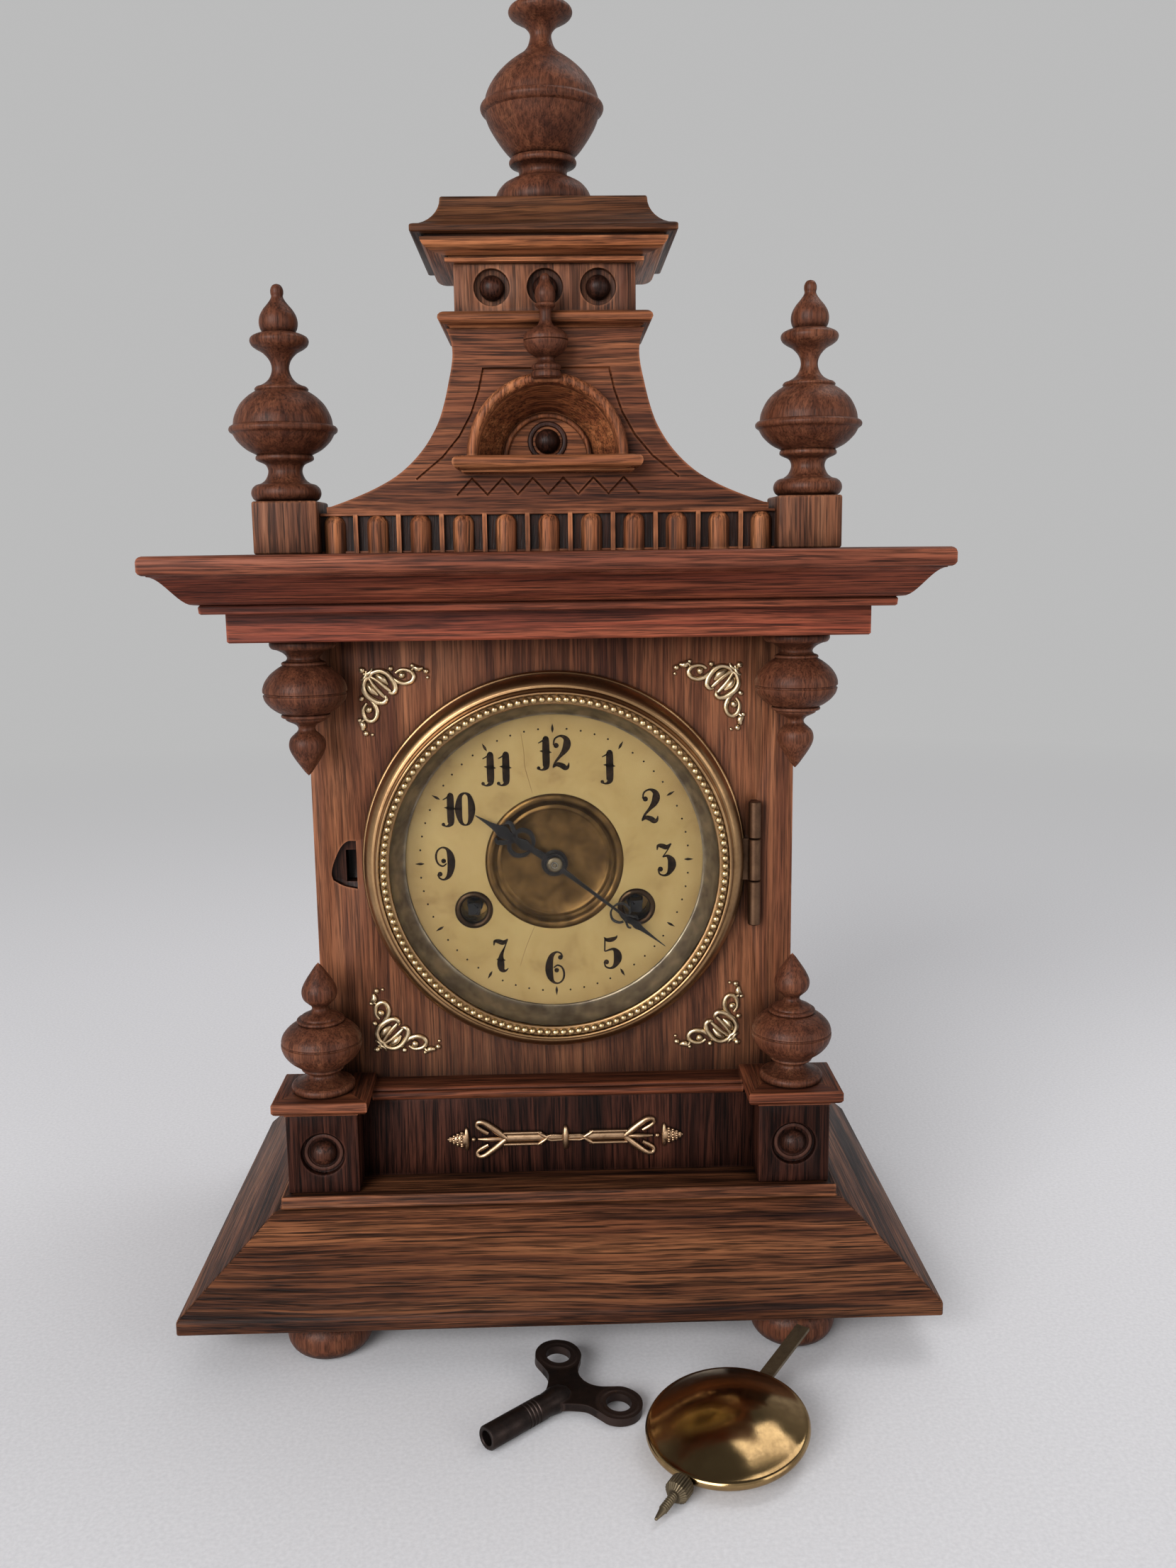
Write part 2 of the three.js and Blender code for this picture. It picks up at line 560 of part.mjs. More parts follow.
node('bezel_hinge_post', join(
  post(HINGE_R, HINGE_LOW, knuckleLow - RUN, HINGE_X, HINGE_Y),
  post(HINGE_R, knuckleHigh + RUN, HINGE_HIGH, HINGE_X, HINGE_Y),
  post(HINGE_PIN_R, HINGE_LOW, HINGE_HIGH, HINGE_X, HINGE_Y),
  ...hingePlates,
), BRASS);

// Dial ring on the front panel and the sunk brass centre
const windingHoles = [-WIND_X, WIND_X].map((x) => circle(WIND_HOLE_R, 12, x, DIAL_Z + WIND_Z));
node('dial_ring', slab(
  circle(DIAL_R, 40, 0, DIAL_Z), -DIAL_THICK, 0, [circle(DIAL_HOLE_R, 24, 0, DIAL_Z), ...windingHoles],
), CREAM);
const CUP_R = DIAL_HOLE_R - 0.2;
const CUP_FLOOR = 0.6;
node('dial_centre', faced([
  [3.4, CUP_FLOOR], [CUP_R - 0.8, CUP_FLOOR], [CUP_R - 0.8, -1.7], [27.1, -1.7], [27.1, -DIAL_THICK],
  [CUP_R, -DIAL_THICK], [CUP_R, CUP_FLOOR + 0.8], [3.4, CUP_FLOOR + 0.8], [3.4, CUP_FLOOR],
], 24), BRASS);

// Hands on the two pipes, held by a nut
const PIPE_END = -4.2;
const HOUR_BACK = -3.4;
const CANNON_BACK = -5.6;
const CANNON_END = -6.4;
const HOUR_PIPE_R = 2.9;
const CANNON_TIP_R = 1.6;
const FIT = 0.1;
function hand(outline, y0, y1, hole, angle) {
  const flat = slab(outline, y0, y1, [circle(hole, 16)]);
  return flat.rotateY(angle * RAD).translate(0, 0, DIAL_Z);
}
const hourHalf = [[1.2, 4.4], [1.1, 12], [3.4, 15.5], [5.4, 20], [3.6, 24.5], [1.4, 27], [1, 31], [0, 36]];
const TIP_CLEAR = 3.6;
const minuteTip = SIGHT_R - TIP_CLEAR;
const minuteHalf = [
  [1.1, 4], [0.9, minuteTip - 30.6], [2.8, minuteTip - 25.6], [4, minuteTip - 20.6], [2.6, minuteTip - 15.6],
  [1.1, minuteTip - 12.6], [0.8, minuteTip - 6.6], [0, minuteTip],
];
const bothSides = (half, boss) => [
  ...arc(boss, 290, 430, 6).filter(([x]) => x > 1.4), ...half,
  ...half.slice(0, -1).map(([x, z]) => [-x, z]).reverse(),
  ...arc(boss, 110, 250, 6).filter(([x]) => x < -1.4),
];
const hourOutline = bothSides(hourHalf, 4.6);
node('hour_hand', hand(hourOutline, PIPE_END, HOUR_BACK, HOUR_PIPE_R + FIT, HOUR_ANGLE), BLACK);
node('minute_hand', hand(
  bothSides(minuteHalf, 4.2), CANNON_END, CANNON_BACK, CANNON_TIP_R + FIT, MINUTE_ANGLE,
), BLACK);
const NUT_END = -8.6;
const ARBOR_TIP_R = 1.2;
node('hand_nut', tube(3.2, ARBOR_TIP_R + FIT, NUT_END, CANNON_END, 16), BRASS);

// Movement: two plates behind the front panel, screwed to it round the hole
const FRONT_PLATE = [PANEL_THICK, PANEL_THICK + 2.5];
const BACK_PLATE = [50.5, 53];
const PLATE_X = 68;
const PLATE_LOW = -62;
const PLATE_HIGH = 68;
const PILLAR_X = 62;
const PILLAR_LOW = -56;
const PILLAR_HIGH = 62;
const PIVOT_R = 0.9;
const GREAT_TEETH = 48;
const PINION_LEAVES = 6;
const CENTRE_TEETH = 60;
const THIRD_TEETH = 54;
const CANNON_LEAVES = 10;
const MINUTE_TEETH = 30;
const HOUR_TEETH = 40;
const ESCAPE_TEETH = 42;
const ESCAPE_R = 14;
const CENTRE = [0, 0];
const TIME = [WIND_X, WIND_Z];
const STRIKE = [-WIND_X, WIND_Z];
const THIRD = [13.2, 22.86];
const ESCAPE = [0, 40.46];
const ANCHOR = [0, 60.1];
const MINUTE = [0, 18];
const GREAT_REACH = Math.hypot(...TIME);
const PIN_ANGLE = 112 * RAD;
const PIN_WHEEL = [
  STRIKE[0] + GREAT_REACH * Math.cos(PIN_ANGLE), STRIKE[1] + GREAT_REACH * Math.sin(PIN_ANGLE),
];
const HAMMER = [-60, 36];

// Toothed outline; a tooth (or for a follower a gap) points along the angle given.
const TOOTH_UP = 0.5;
const TOOTH_DOWN = 0.9;
function gear(teeth, module, at, turn, y0, y1, bore) {
  const pitchR = (teeth * module) / 2;
  const outline = [];
  for (let i = 0; i < teeth; i += 1) {
    const tip = turn + (i / teeth) * 2 * Math.PI;
    const root = turn + ((i + 0.5) / teeth) * 2 * Math.PI;
    const tipR = pitchR + TOOTH_UP * module;
    const rootR = pitchR - TOOTH_DOWN * module;
    outline.push([at[0] + tipR * Math.cos(tip), DIAL_Z + at[1] + tipR * Math.sin(tip)]);
    outline.push([at[0] + rootR * Math.cos(root), DIAL_Z + at[1] + rootR * Math.sin(root)]);
  }
  return slab(outline, y0, y1, bore ? [circle(bore, 12, at[0], DIAL_Z + at[1])] : []);
}
// The pair's module, and the two turns that put a tooth of one in a gap of the other.
function mesh(driver, follower, driverTeeth, followerTeeth) {
  const across = [follower[0] - driver[0], follower[1] - driver[1]];
  const toward = Math.atan2(across[1], across[0]);
  return {
    module: (2 * Math.hypot(...across)) / (driverTeeth + followerTeeth),
    driver: toward,
    follower: toward + Math.PI + Math.PI / followerTeeth,
  };
}
const axle = (radius, y0, y1, at, sides = 8) => rod(radius, y0, y1, sides, at[0], at[1]);
// An arbor with thinner pivots running in both plates.
function arbor(radius, at) {
  return join(
    axle(radius, FRONT_PLATE[1] + RUN, BACK_PLATE[0] - RUN, at),
    axle(PIVOT_R, FRONT_PLATE[0] + RUN, BACK_PLATE[1] - RUN, at),
  );
}

const WIND_R = 3.2;
const WIND_BACK_R = 2;
const plateOutline = [
  [-PLATE_X, DIAL_Z + PLATE_LOW], [PLATE_X, DIAL_Z + PLATE_LOW],
  [PLATE_X, DIAL_Z + PLATE_HIGH], [-PLATE_X, DIAL_Z + PLATE_HIGH],
];
const plateHole = (radius, at) => circle(radius, 8, at[0], DIAL_Z + at[1]);
const pivotHoles = [THIRD, ESCAPE, PIN_WHEEL].map((at) => plateHole(PIVOT_R + 0.15, at));
const STUD_R = 1.2;
const CENTRE_R = 1.5;
const ANCHOR_R = 1.3;
node('movement_front_plate', join(
  slab(plateOutline, ...FRONT_PLATE, [
    ...pivotHoles, plateHole(PIVOT_R + 0.15, ANCHOR), plateHole(PIVOT_R + 0.15, HAMMER),
    plateHole(CENTRE_R + 0.2, CENTRE),
    plateHole(WIND_R + 0.4, TIME), plateHole(WIND_R + 0.4, STRIKE),
  ]),
  axle(STUD_R, 4.2, FRONT_PLATE[0] + 1, MINUTE),
), BRASS);
const pillarSpots = [
  [-PILLAR_X, PILLAR_LOW], [PILLAR_X, PILLAR_LOW], [-PILLAR_X, PILLAR_HIGH], [PILLAR_X, PILLAR_HIGH],
];
node('movement_back_plate', join(
  slab(plateOutline, ...BACK_PLATE, [
    ...pivotHoles, plateHole(ANCHOR_R + 0.25, ANCHOR), plateHole(ANCHOR_R + 0.25, HAMMER),
    plateHole(PIVOT_R + 0.15, CENTRE),
    plateHole(WIND_BACK_R + 0.2, TIME), plateHole(WIND_BACK_R + 0.2, STRIKE),
  ]),
  ...pillarSpots.map((at) => axle(4, FRONT_PLATE[1], BACK_PLATE[0] + 1, at)),
), BRASS);

// Spring barrels with great wheels at different depths, mainsprings and winding arbors
const DRUM_R = 20;
const DRUM = [18, 40];
const DRUM_WALL = 1.4;
const DRUM_BORE_R = 4.4;
const ARBOR_R = 4;
const TIME_WHEEL = [DRUM[1] - 0.5, DRUM[1] + 2];
const STRIKE_WHEEL = [DRUM[0] - 2, DRUM[0] + 0.5];
const SPRING_LOOPS = 3;
const SPRING_THICK = 0.8;
const SPRING_IN = 5.6;
const SPRING_OUT = 18;
const LOOP_STEPS = 14;
const timeMesh = mesh(TIME, CENTRE, GREAT_TEETH, PINION_LEAVES);
const strikeMesh = mesh(STRIKE, PIN_WHEEL, GREAT_TEETH, PINION_LEAVES);
function drum(at) {
  const inner = DRUM_R - DRUM_WALL;
  return faced([
    [DRUM_BORE_R, DRUM[0]], [DRUM_R, DRUM[0]], [DRUM_R, DRUM[1]], [DRUM_BORE_R, DRUM[1]],
    [DRUM_BORE_R, DRUM[1] - DRUM_WALL], [inner, DRUM[1] - DRUM_WALL], [inner, DRUM[0] + DRUM_WALL],
    [DRUM_BORE_R, DRUM[0] + DRUM_WALL], [DRUM_BORE_R, DRUM[0]],
  ], 16, ...at);
}
node('time_barrel', join(
  drum(TIME), gear(GREAT_TEETH, timeMesh.module, TIME, timeMesh.driver, ...TIME_WHEEL, DRUM_BORE_R),
), BRASS);
node('strike_barrel', join(
  drum(STRIKE),
  gear(GREAT_TEETH, strikeMesh.module, STRIKE, strikeMesh.driver, ...STRIKE_WHEEL, DRUM_BORE_R),
), BRASS);

// Least gap of a wound strip to itself, from its centre points and its thickness.
function leastGap(points, thick, loopSteps) {
  let least = Infinity;
  for (let i = 0; i < points.length; i += 1) {
    for (let k = i + Math.round(loopSteps / 2); k < points.length; k += 1) {
      least = Math.min(least, Math.hypot(points[i][0] - points[k][0], points[i][1] - points[k][1]));
    }
  }
  return least - thick;
}
function windPoints(inner, outer, loops, at) {
  const points = [];
  for (let i = 0; i <= loops * LOOP_STEPS; i += 1) {
    const radius = inner + ((outer - inner) * i) / (loops * LOOP_STEPS);
    const angle = (i / LOOP_STEPS) * 2 * Math.PI;
    points.push([at[0] + radius * Math.cos(angle), DIAL_Z + at[1] + radius * Math.sin(angle)]);
  }
  return points;
}
function mainspring(at) {
  const half = SPRING_THICK / 2;
  const inside = windPoints(SPRING_IN - half, SPRING_OUT - half, SPRING_LOOPS, at);
  const outside = windPoints(SPRING_IN + half, SPRING_OUT + half, SPRING_LOOPS, at);
  const gap = leastGap(windPoints(SPRING_IN, SPRING_OUT, SPRING_LOOPS, at), SPRING_THICK, LOOP_STEPS);
  console.log(`mainspring least gap ${gap.toFixed(2)} mm`);
  return slab([...inside, ...outside.reverse()], DRUM[0] + 2, DRUM[1] - 2);
}
node('time_mainspring', mainspring(TIME), STEEL);
node('strike_mainspring', mainspring(STRIKE), STEEL);
const SQUARE = 2.3;
const SQUARE_FRONT = -0.6;
function windingArbor(at) {
  return join(
    axle(WIND_R, 7, FRONT_PLATE[1] + 1, at, 12),
    axle(ARBOR_R, FRONT_PLATE[1] + RUN, BACK_PLATE[0] - RUN, at, 12),
    axle(WIND_BACK_R, BACK_PLATE[0] - 1, BACK_PLATE[1], at, 12),
    box(at[0] - SQUARE, at[0] + SQUARE, SQUARE_FRONT, 8, DIAL_Z + at[1] - SQUARE, DIAL_Z + at[1] + SQUARE),
  );
}
node('time_winding_arbor', windingArbor(TIME), STEEL);
node('strike_winding_arbor', windingArbor(STRIKE), STEEL);

// Going train; the cannon pinion is friction-tight on the centre arbor
const cannonMesh = mesh(CENTRE, MINUTE, CANNON_LEAVES, MINUTE_TEETH);
const hourMesh = mesh(MINUTE, CENTRE, CANNON_LEAVES, HOUR_TEETH);
const CANNON_R = 2.3;
const centreMesh = mesh(CENTRE, THIRD, CENTRE_TEETH, PINION_LEAVES);
const thirdMesh = mesh(THIRD, ESCAPE, THIRD_TEETH, PINION_LEAVES);
node('centre_arbor', join(
  axle(CENTRE_R, 10, BACK_PLATE[0] - RUN, CENTRE),
  axle(PIVOT_R, BACK_PLATE[0] - 1, BACK_PLATE[1] - RUN, CENTRE),
  axle(ARBOR_TIP_R, NUT_END + 0.5, 12, CENTRE),
  axle(CANNON_TIP_R, CANNON_END, 10, CENTRE, 12),
  axle(CANNON_R, CANNON_BACK, 11.4, CENTRE, 12),
  gear(CANNON_LEAVES, cannonMesh.module, CENTRE, cannonMesh.driver, 8.4, 11.4),
  gear(PINION_LEAVES, timeMesh.module, CENTRE, timeMesh.follower, DRUM[1] - 1.5, DRUM[1] + 3.5),
  gear(CENTRE_TEETH, centreMesh.module, CENTRE, centreMesh.driver, 46, 47.5),
), BRASS);
node('third_wheel', join(
  arbor(1.2, THIRD),
  gear(PINION_LEAVES, centreMesh.module, THIRD, centreMesh.follower, 45, 48.5),
  gear(THIRD_TEETH, thirdMesh.module, THIRD, thirdMesh.driver, 30, 31.5),
), BRASS);
const escapeOutline = [];
for (let i = 0; i < ESCAPE_TEETH; i += 1) {
  const tip = (i / ESCAPE_TEETH) * 2 * Math.PI;
  const root = ((i + 0.35) / ESCAPE_TEETH) * 2 * Math.PI;
  escapeOutline.push([ESCAPE_R * Math.cos(tip), DIAL_Z + ESCAPE[1] + ESCAPE_R * Math.sin(tip)]);
  escapeOutline.push([11.6 * Math.cos(root), DIAL_Z + ESCAPE[1] + 11.6 * Math.sin(root)]);
}
node('escape_wheel', join(
  arbor(1.1, ESCAPE),
  gear(PINION_LEAVES, thirdMesh.module, ESCAPE, thirdMesh.follower, 29, 32.5),
  slab(escapeOutline, 22, 23.5),
), BRASS);

// Motion work behind the dial: minute wheel and hour wheel
const HOUR_BORE = CANNON_R + 0.15;
node('minute_wheel', join(
  gear(MINUTE_TEETH, cannonMesh.module, MINUTE, cannonMesh.follower, 9, 10.6, STUD_R + 0.15),
  gear(CANNON_LEAVES, hourMesh.module, MINUTE, hourMesh.driver, 5, 9.4, STUD_R + 0.15),
), BRASS);
node('hour_wheel', join(
  gear(HOUR_TEETH, hourMesh.module, CENTRE, hourMesh.follower, 5.5, 7.1, HOUR_BORE),
  tube(HOUR_PIPE_R + 0.2, HOUR_BORE, HOUR_BACK, 6, 12),
  tube(HOUR_PIPE_R, HOUR_BORE, PIPE_END, HOUR_BACK + 0.5, 12),
), BRASS);

// Anchor with its crutch behind the back plate, and the cock that holds the suspension spring
const CRUTCH = [54.2, 55.8];
const COCK_PLATE = [58, 60];
const COCK_X = 14;
const at = (spot, points) => points.map(([x, z]) => [x + spot[0], DIAL_Z + spot[1] + z]);
node('anchor', join(
  axle(ANCHOR_R, FRONT_PLATE[1] + RUN, COCK_PLATE[0] - RUN, ANCHOR),
  axle(PIVOT_R, FRONT_PLATE[0] + RUN, COCK_PLATE[1] - RUN, ANCHOR),
  slab(at(ANCHOR, [
    [-3, 2.4], [3, 2.4], [12.5, -4.5], [13.2, -9.2], [10.9, -8.4], [9.6, -4.6], [2.6, -2.4],
    [-2.6, -2.4], [-9.6, -4.6], [-10.9, -8.4], [-13.2, -9.2], [-12.5, -4.5],
  ]), 21.5, 24),
  slab(at(ANCHOR, [
    [-1.4, 2.4], [-1.4, -34], [-4.4, -36], [-4.4, -46], [-2.6, -46], [-2.6, -38], [2.6, -38], [2.6, -46],
    [4.4, -46], [4.4, -36], [1.4, -34], [1.4, 2.4],
  ]), ...CRUTCH),
), STEEL);
const cockLow = DIAL_Z + ANCHOR[1] - 5;
const cockHigh = DIAL_Z + PLATE_HIGH;
const SPRING_Y = 66;
node('suspension_cock', cut(
  join(
    box(-COCK_X, -COCK_X + 5, BACK_PLATE[1], COCK_PLATE[1], cockLow, cockHigh),
    box(COCK_X - 5, COCK_X, BACK_PLATE[1], COCK_PLATE[1], cockLow, cockHigh),
    box(-COCK_X, COCK_X, ...COCK_PLATE, cockLow, cockHigh),
    box(-4, 4, COCK_PLATE[0], SPRING_Y + 2.5, cockHigh - 6, cockHigh),
    box(-2.6, 2.6, SPRING_Y - 0.3, SPRING_Y + 0.3, cockHigh - 24, cockHigh - 5),
    box(-3.4, 3.4, SPRING_Y - 1.4, SPRING_Y + 1.4, cockHigh - 27, cockHigh - 22),
  ),
  axle(PIVOT_R + 0.15, COCK_PLATE[0] - 1, COCK_PLATE[1] + 1, ANCHOR, 12),
), BRASS);

// Striking: pin wheel, hammer, coil gong and its stand
const PIN_CIRCLE = 12.5;
const PINS = 8;
const pinSpots = circle(PIN_CIRCLE, PINS, ...PIN_WHEEL);
node('strike_pin_wheel', join(
  arbor(1.4, PIN_WHEEL),
  gear(PINION_LEAVES, strikeMesh.module, PIN_WHEEL, strikeMesh.follower, DRUM[0] - 3, DRUM[0] + 1.5),
  axle(15, 26, 27.4, PIN_WHEEL, 20),
  ...pinSpots.map((spot) => axle(PIVOT_R, 27, 32, spot, 6)),
), BRASS);
const GONG = [0, -66];
const GONG_Y = 82;
const GONG_WIRE = 1.3;
const GONG_IN = 10;
const GONG_OUT = 42;
const GONG_LOOPS = 3;
const GONG_STEPS = 24;
const HAMMER_HEAD_R = 7;
const HAMMER_GAP = 1.5;
const headReach = GONG_OUT + GONG_WIRE + HAMMER_GAP + HAMMER_HEAD_R;
const HEAD = [GONG[0] + headReach * Math.cos(150 * RAD), GONG[1] + headReach * Math.sin(150 * RAD)];
// A straight bar between two spots, seen from the front.
function bar(from, to, half, y0, y1) {
  const along = [to[0] - from[0], to[1] - from[1]];
  const length = Math.hypot(...along);
  const side = [(-along[1] / length) * half, (along[0] / length) * half];
  return slab(at([0, 0], [
    [from[0] + side[0], from[1] + side[1]], [to[0] + side[0], to[1] + side[1]],
    [to[0] - side[0], to[1] - side[1]], [from[0] - side[0], from[1] - side[1]],
  ]), y0, y1);
}
const toPins = [PIN_WHEEL[0] - HAMMER[0], PIN_WHEEL[1] - HAMMER[1]];
const tailShare = 1 - (PIN_CIRCLE + PIVOT_R + 1.2) / Math.hypot(...toPins);
const TAIL = [HAMMER[0] + toPins[0] * tailShare, HAMMER[1] + toPins[1] * tailShare];
node('strike_hammer', join(
  axle(PIVOT_R, FRONT_PLATE[0] + RUN, FRONT_PLATE[1] + 1, HAMMER),
  axle(ANCHOR_R, FRONT_PLATE[1] + RUN, GONG_Y + 2, HAMMER),
  bar(HAMMER, TAIL, 1.2, 28, 30),
  bar(HAMMER, HEAD, 1.5, GONG_Y - 2, GONG_Y + 1),
  axle(HAMMER_HEAD_R, GONG_Y - 6, GONG_Y + 6, HEAD, 14),
), STEEL);
class Spiral extends THREE.Curve {
  getPoint(t) {
    const radius = GONG_IN + (GONG_OUT - GONG_IN) * t;
    const angle = t * GONG_LOOPS * 2 * Math.PI;
    const x = GONG[0] + radius * Math.cos(angle);
    const z = DIAL_Z + GONG[1] + radius * Math.sin(angle);
    return new THREE.Vector3(x, GONG_Y, z);
  }
}
const gongPath = new Spiral();
const gongPoints = gongPath.getSpacedPoints(GONG_LOOPS * GONG_STEPS).map((p) => [p.x, p.z]);
console.log(`gong least gap ${leastGap(gongPoints, 2 * GONG_WIRE, GONG_STEPS).toFixed(2)} mm`);
const wireShape = new THREE.Shape(circle(GONG_WIRE, 6).map(([x, y]) => new THREE.Vector2(x, y)));
const gongWire = new THREE.ExtrudeGeometry(wireShape, {
  steps: GONG_LOOPS * GONG_STEPS, bevelEnabled: false, extrudePath: gongPath,
});
node('gong', gongWire, STEEL);
const gongZ = DIAL_Z + GONG[1];
node('gong_stand', cut(
  join(
    box(-8, 8, GONG_Y + 3, GONG_Y + 12, BASE_TOP, gongZ + 9),
    axle(GONG_IN + 2, GONG_Y - 3, GONG_Y + 4, GONG, 16),
  ),
  gongWire,
), STEEL);

// Back door with a finger hole and its own hinge leaf, on a long hinge at the right
const DOOR_FRONT = CASE_BACK - BOARD;
const doorHalf = CASE_HALF - BOARD - DOOR_GAP;
const DOOR_HINGE_Y = CASE_BACK + 2.5;
const DOOR_HINGE_R = 2.4;
const doorHingeX = CASE_HALF - BOARD;
const LEAF_LOW = 80;
const LEAF_HIGH = 240;
const LEAF_THICK = 1.2;
const DOOR_KNUCKLE = [132, 188];
const leafBack = CASE_BACK + LEAF_THICK;
const doorKnuckleSpan = [DOOR_KNUCKLE[0] + RUN, DOOR_KNUCKLE[1] - RUN];
node('back_door', join(
  cut(
    box(-doorHalf, doorHalf, DOOR_FRONT, CASE_BACK, BASE_TOP + DOOR_GAP, FASCIA_Z - DOOR_GAP),
    axle(8, DOOR_FRONT - 1, CASE_BACK + 1, [-doorHalf + 16, -12], 16),
  ),
  box(doorHingeX - 12, doorHingeX - 2.7, CASE_BACK - 0.4, leafBack, LEAF_LOW, LEAF_HIGH),
  box(doorHingeX - 3, doorHingeX - 1.4, CASE_BACK - 0.4, leafBack + 0.3, ...doorKnuckleSpan),
  turned(upright(DOOR_HINGE_R, HINGE_PIN_R + 0.2, ...doorKnuckleSpan), 12, doorHingeX, DOOR_HINGE_Y),
), OAK);
const fixedSpans = [[LEAF_LOW, DOOR_KNUCKLE[0]], [DOOR_KNUCKLE[1], LEAF_HIGH]];
node('door_hinge_post', join(
  box(doorHingeX + 2.7, doorHingeX + 8.4, CASE_BACK, leafBack, LEAF_LOW, LEAF_HIGH),
  ...fixedSpans.map(([z0, z1]) => box(doorHingeX + 1, doorHingeX + 3, CASE_BACK, leafBack + 0.3, z0, z1)),
  ...fixedSpans.map(([z0, z1]) => post(DOOR_HINGE_R, z0, z1, doorHingeX, DOOR_HINGE_Y)),
  post(HINGE_PIN_R, LEAF_LOW, LEAF_HIGH, doorHingeX, DOOR_HINGE_Y),
), BRASS);

// Winding key, lying in front; its own frame runs from the socket end along +Y
const KEY_SPOT = [-26.1, -110.2, 4.5];
const KEY_TURN = -49;
const KEY_ROLL = 6.5;
const KEY_SHAFT_R = 4.2;
const BOW_HALF = 1.6;
const BOW_RINGS = [[-16, 46], [16, 46]];
const keyShape = cut(
  join(
    new THREE.CylinderGeometry(KEY_SHAFT_R, KEY_SHAFT_R, 36, 14).translate(0, 18, 0),
    column([
      [-3.8, 28], [3.8, 28], [9, 36.4], [16, 37.6], [20, 47], [13, 53], [7, 46.4], [0, 43.4],
      [-7, 46.4], [-13, 53], [-20, 47], [-16, 37.6], [-9, 36.4],
    ], -BOW_HALF, BOW_HALF),
    ...BOW_RINGS.map((spot) => column(circle(8.5, 18, ...spot), -BOW_HALF, BOW_HALF)),
  ),
  ...BOW_RINGS.map((spot) => column(circle(4.5, 14, ...spot), -BOW_HALF - 1, BOW_HALF + 1)),
  box(-SQUARE - 0.1, SQUARE + 0.1, -1, 14, -SQUARE - 0.1, SQUARE + 0.1),
);
node('winding_key', keyShape.rotateY(KEY_ROLL * RAD).rotateZ(KEY_TURN * RAD).translate(...KEY_SPOT), BLACK);

// Pendulum, lying in front on the back of its bob; its own frame has the rod along +Y
const BOB_SPOT = [54.5, -112.5, 8.3];
const ROD_TURN = -36.4;
const ROD_TILT = 7;
const BOB_R = 27.5;
const ROD_HALF = 2.5;
const ROD_THICK = 0.6;
const ROD_TOP = 57;
const THREAD_R = 1.5;
const NUT_SPAN = [-35, -28.4];
const laid = (shape) => shape.rotateX(ROD_TILT * RAD).rotateZ(ROD_TURN * RAD).translate(...BOB_SPOT);
const BOB_PROFILE = [
  [0, -8], [12, -6.6], [21, -3.6], [BOB_R, -0.8], [BOB_R, 0.8], [21, 3.6], [12, 6.6], [0, 8],
];
const alongRod = (profile, sides) => new THREE.LatheGeometry(
  profile.map(([r, y]) => new THREE.Vector2(r, y)), sides,
);
const nutBore = THREAD_R + RUN;
node('pendulum_bob', laid(cut(
  turned(BOB_PROFILE, 28),
  box(-ROD_HALF - RUN, ROD_HALF + RUN, -30, 30, -ROD_THICK - RUN, ROD_THICK + RUN),
  alongRod([[0, -30], [nutBore, -30], [nutBore, 30], [0, 30]], 10),
)), BRASS);
node('pendulum_rod', laid(cut(
  join(
    box(-ROD_HALF, ROD_HALF, -20, ROD_TOP, -ROD_THICK, ROD_THICK),
    alongRod([[0, -46], [0.7, -45], [THREAD_R, -41], [THREAD_R, -19], [0, -19]], 10),
  ),
  column(circle(1.3, 10, 0, ROD_TOP - 4), -2, 2),
)), BRASS);
node('rating_nut', laid(alongRod([
  [nutBore, NUT_SPAN[0]], [3, NUT_SPAN[0]], [4, NUT_SPAN[0] + 1.6], [4, NUT_SPAN[1]],
  [nutBore, NUT_SPAN[1]], [nutBore, NUT_SPAN[0]],
], 14)), STEEL);

// The origin is the middle of the whole row's foot.
const extent = new THREE.Box3().setFromObject(clock);
const middle = extent.getCenter(new THREE.Vector3());
clock.position.set(-middle.x, -middle.y, 0);
console.log(`shift ${(-middle.x).toFixed(4)} ${(-middle.y).toFixed(4)}`);

export default clock;
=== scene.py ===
"""Table clock: oak case, turned urns, brass bezel, celluloid dial, winding key and pendulum."""
import math

import bmesh
import bpy
from mathutils import Matrix, Vector


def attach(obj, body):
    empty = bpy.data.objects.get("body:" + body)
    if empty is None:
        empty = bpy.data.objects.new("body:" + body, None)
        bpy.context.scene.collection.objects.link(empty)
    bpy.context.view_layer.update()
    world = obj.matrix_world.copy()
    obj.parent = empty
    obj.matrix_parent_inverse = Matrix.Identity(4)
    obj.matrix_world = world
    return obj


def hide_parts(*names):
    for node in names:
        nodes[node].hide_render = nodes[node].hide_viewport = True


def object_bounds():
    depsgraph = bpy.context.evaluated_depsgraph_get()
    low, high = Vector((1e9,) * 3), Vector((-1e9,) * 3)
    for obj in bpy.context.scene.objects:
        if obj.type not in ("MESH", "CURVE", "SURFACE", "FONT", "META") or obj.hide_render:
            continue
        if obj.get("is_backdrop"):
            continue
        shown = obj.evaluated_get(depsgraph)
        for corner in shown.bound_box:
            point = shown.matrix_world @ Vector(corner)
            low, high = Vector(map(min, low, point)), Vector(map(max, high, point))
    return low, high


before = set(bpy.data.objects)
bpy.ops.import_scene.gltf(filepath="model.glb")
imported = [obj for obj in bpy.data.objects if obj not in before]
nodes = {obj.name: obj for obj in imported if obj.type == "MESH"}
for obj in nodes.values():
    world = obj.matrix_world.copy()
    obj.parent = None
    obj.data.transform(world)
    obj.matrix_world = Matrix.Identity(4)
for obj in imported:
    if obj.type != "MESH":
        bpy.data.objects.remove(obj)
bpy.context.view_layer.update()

# All sizes below are millimetres in the design frame: Y = 0 is the front of the case.
MM = 0.001
SHIFT_Y = 17.6246
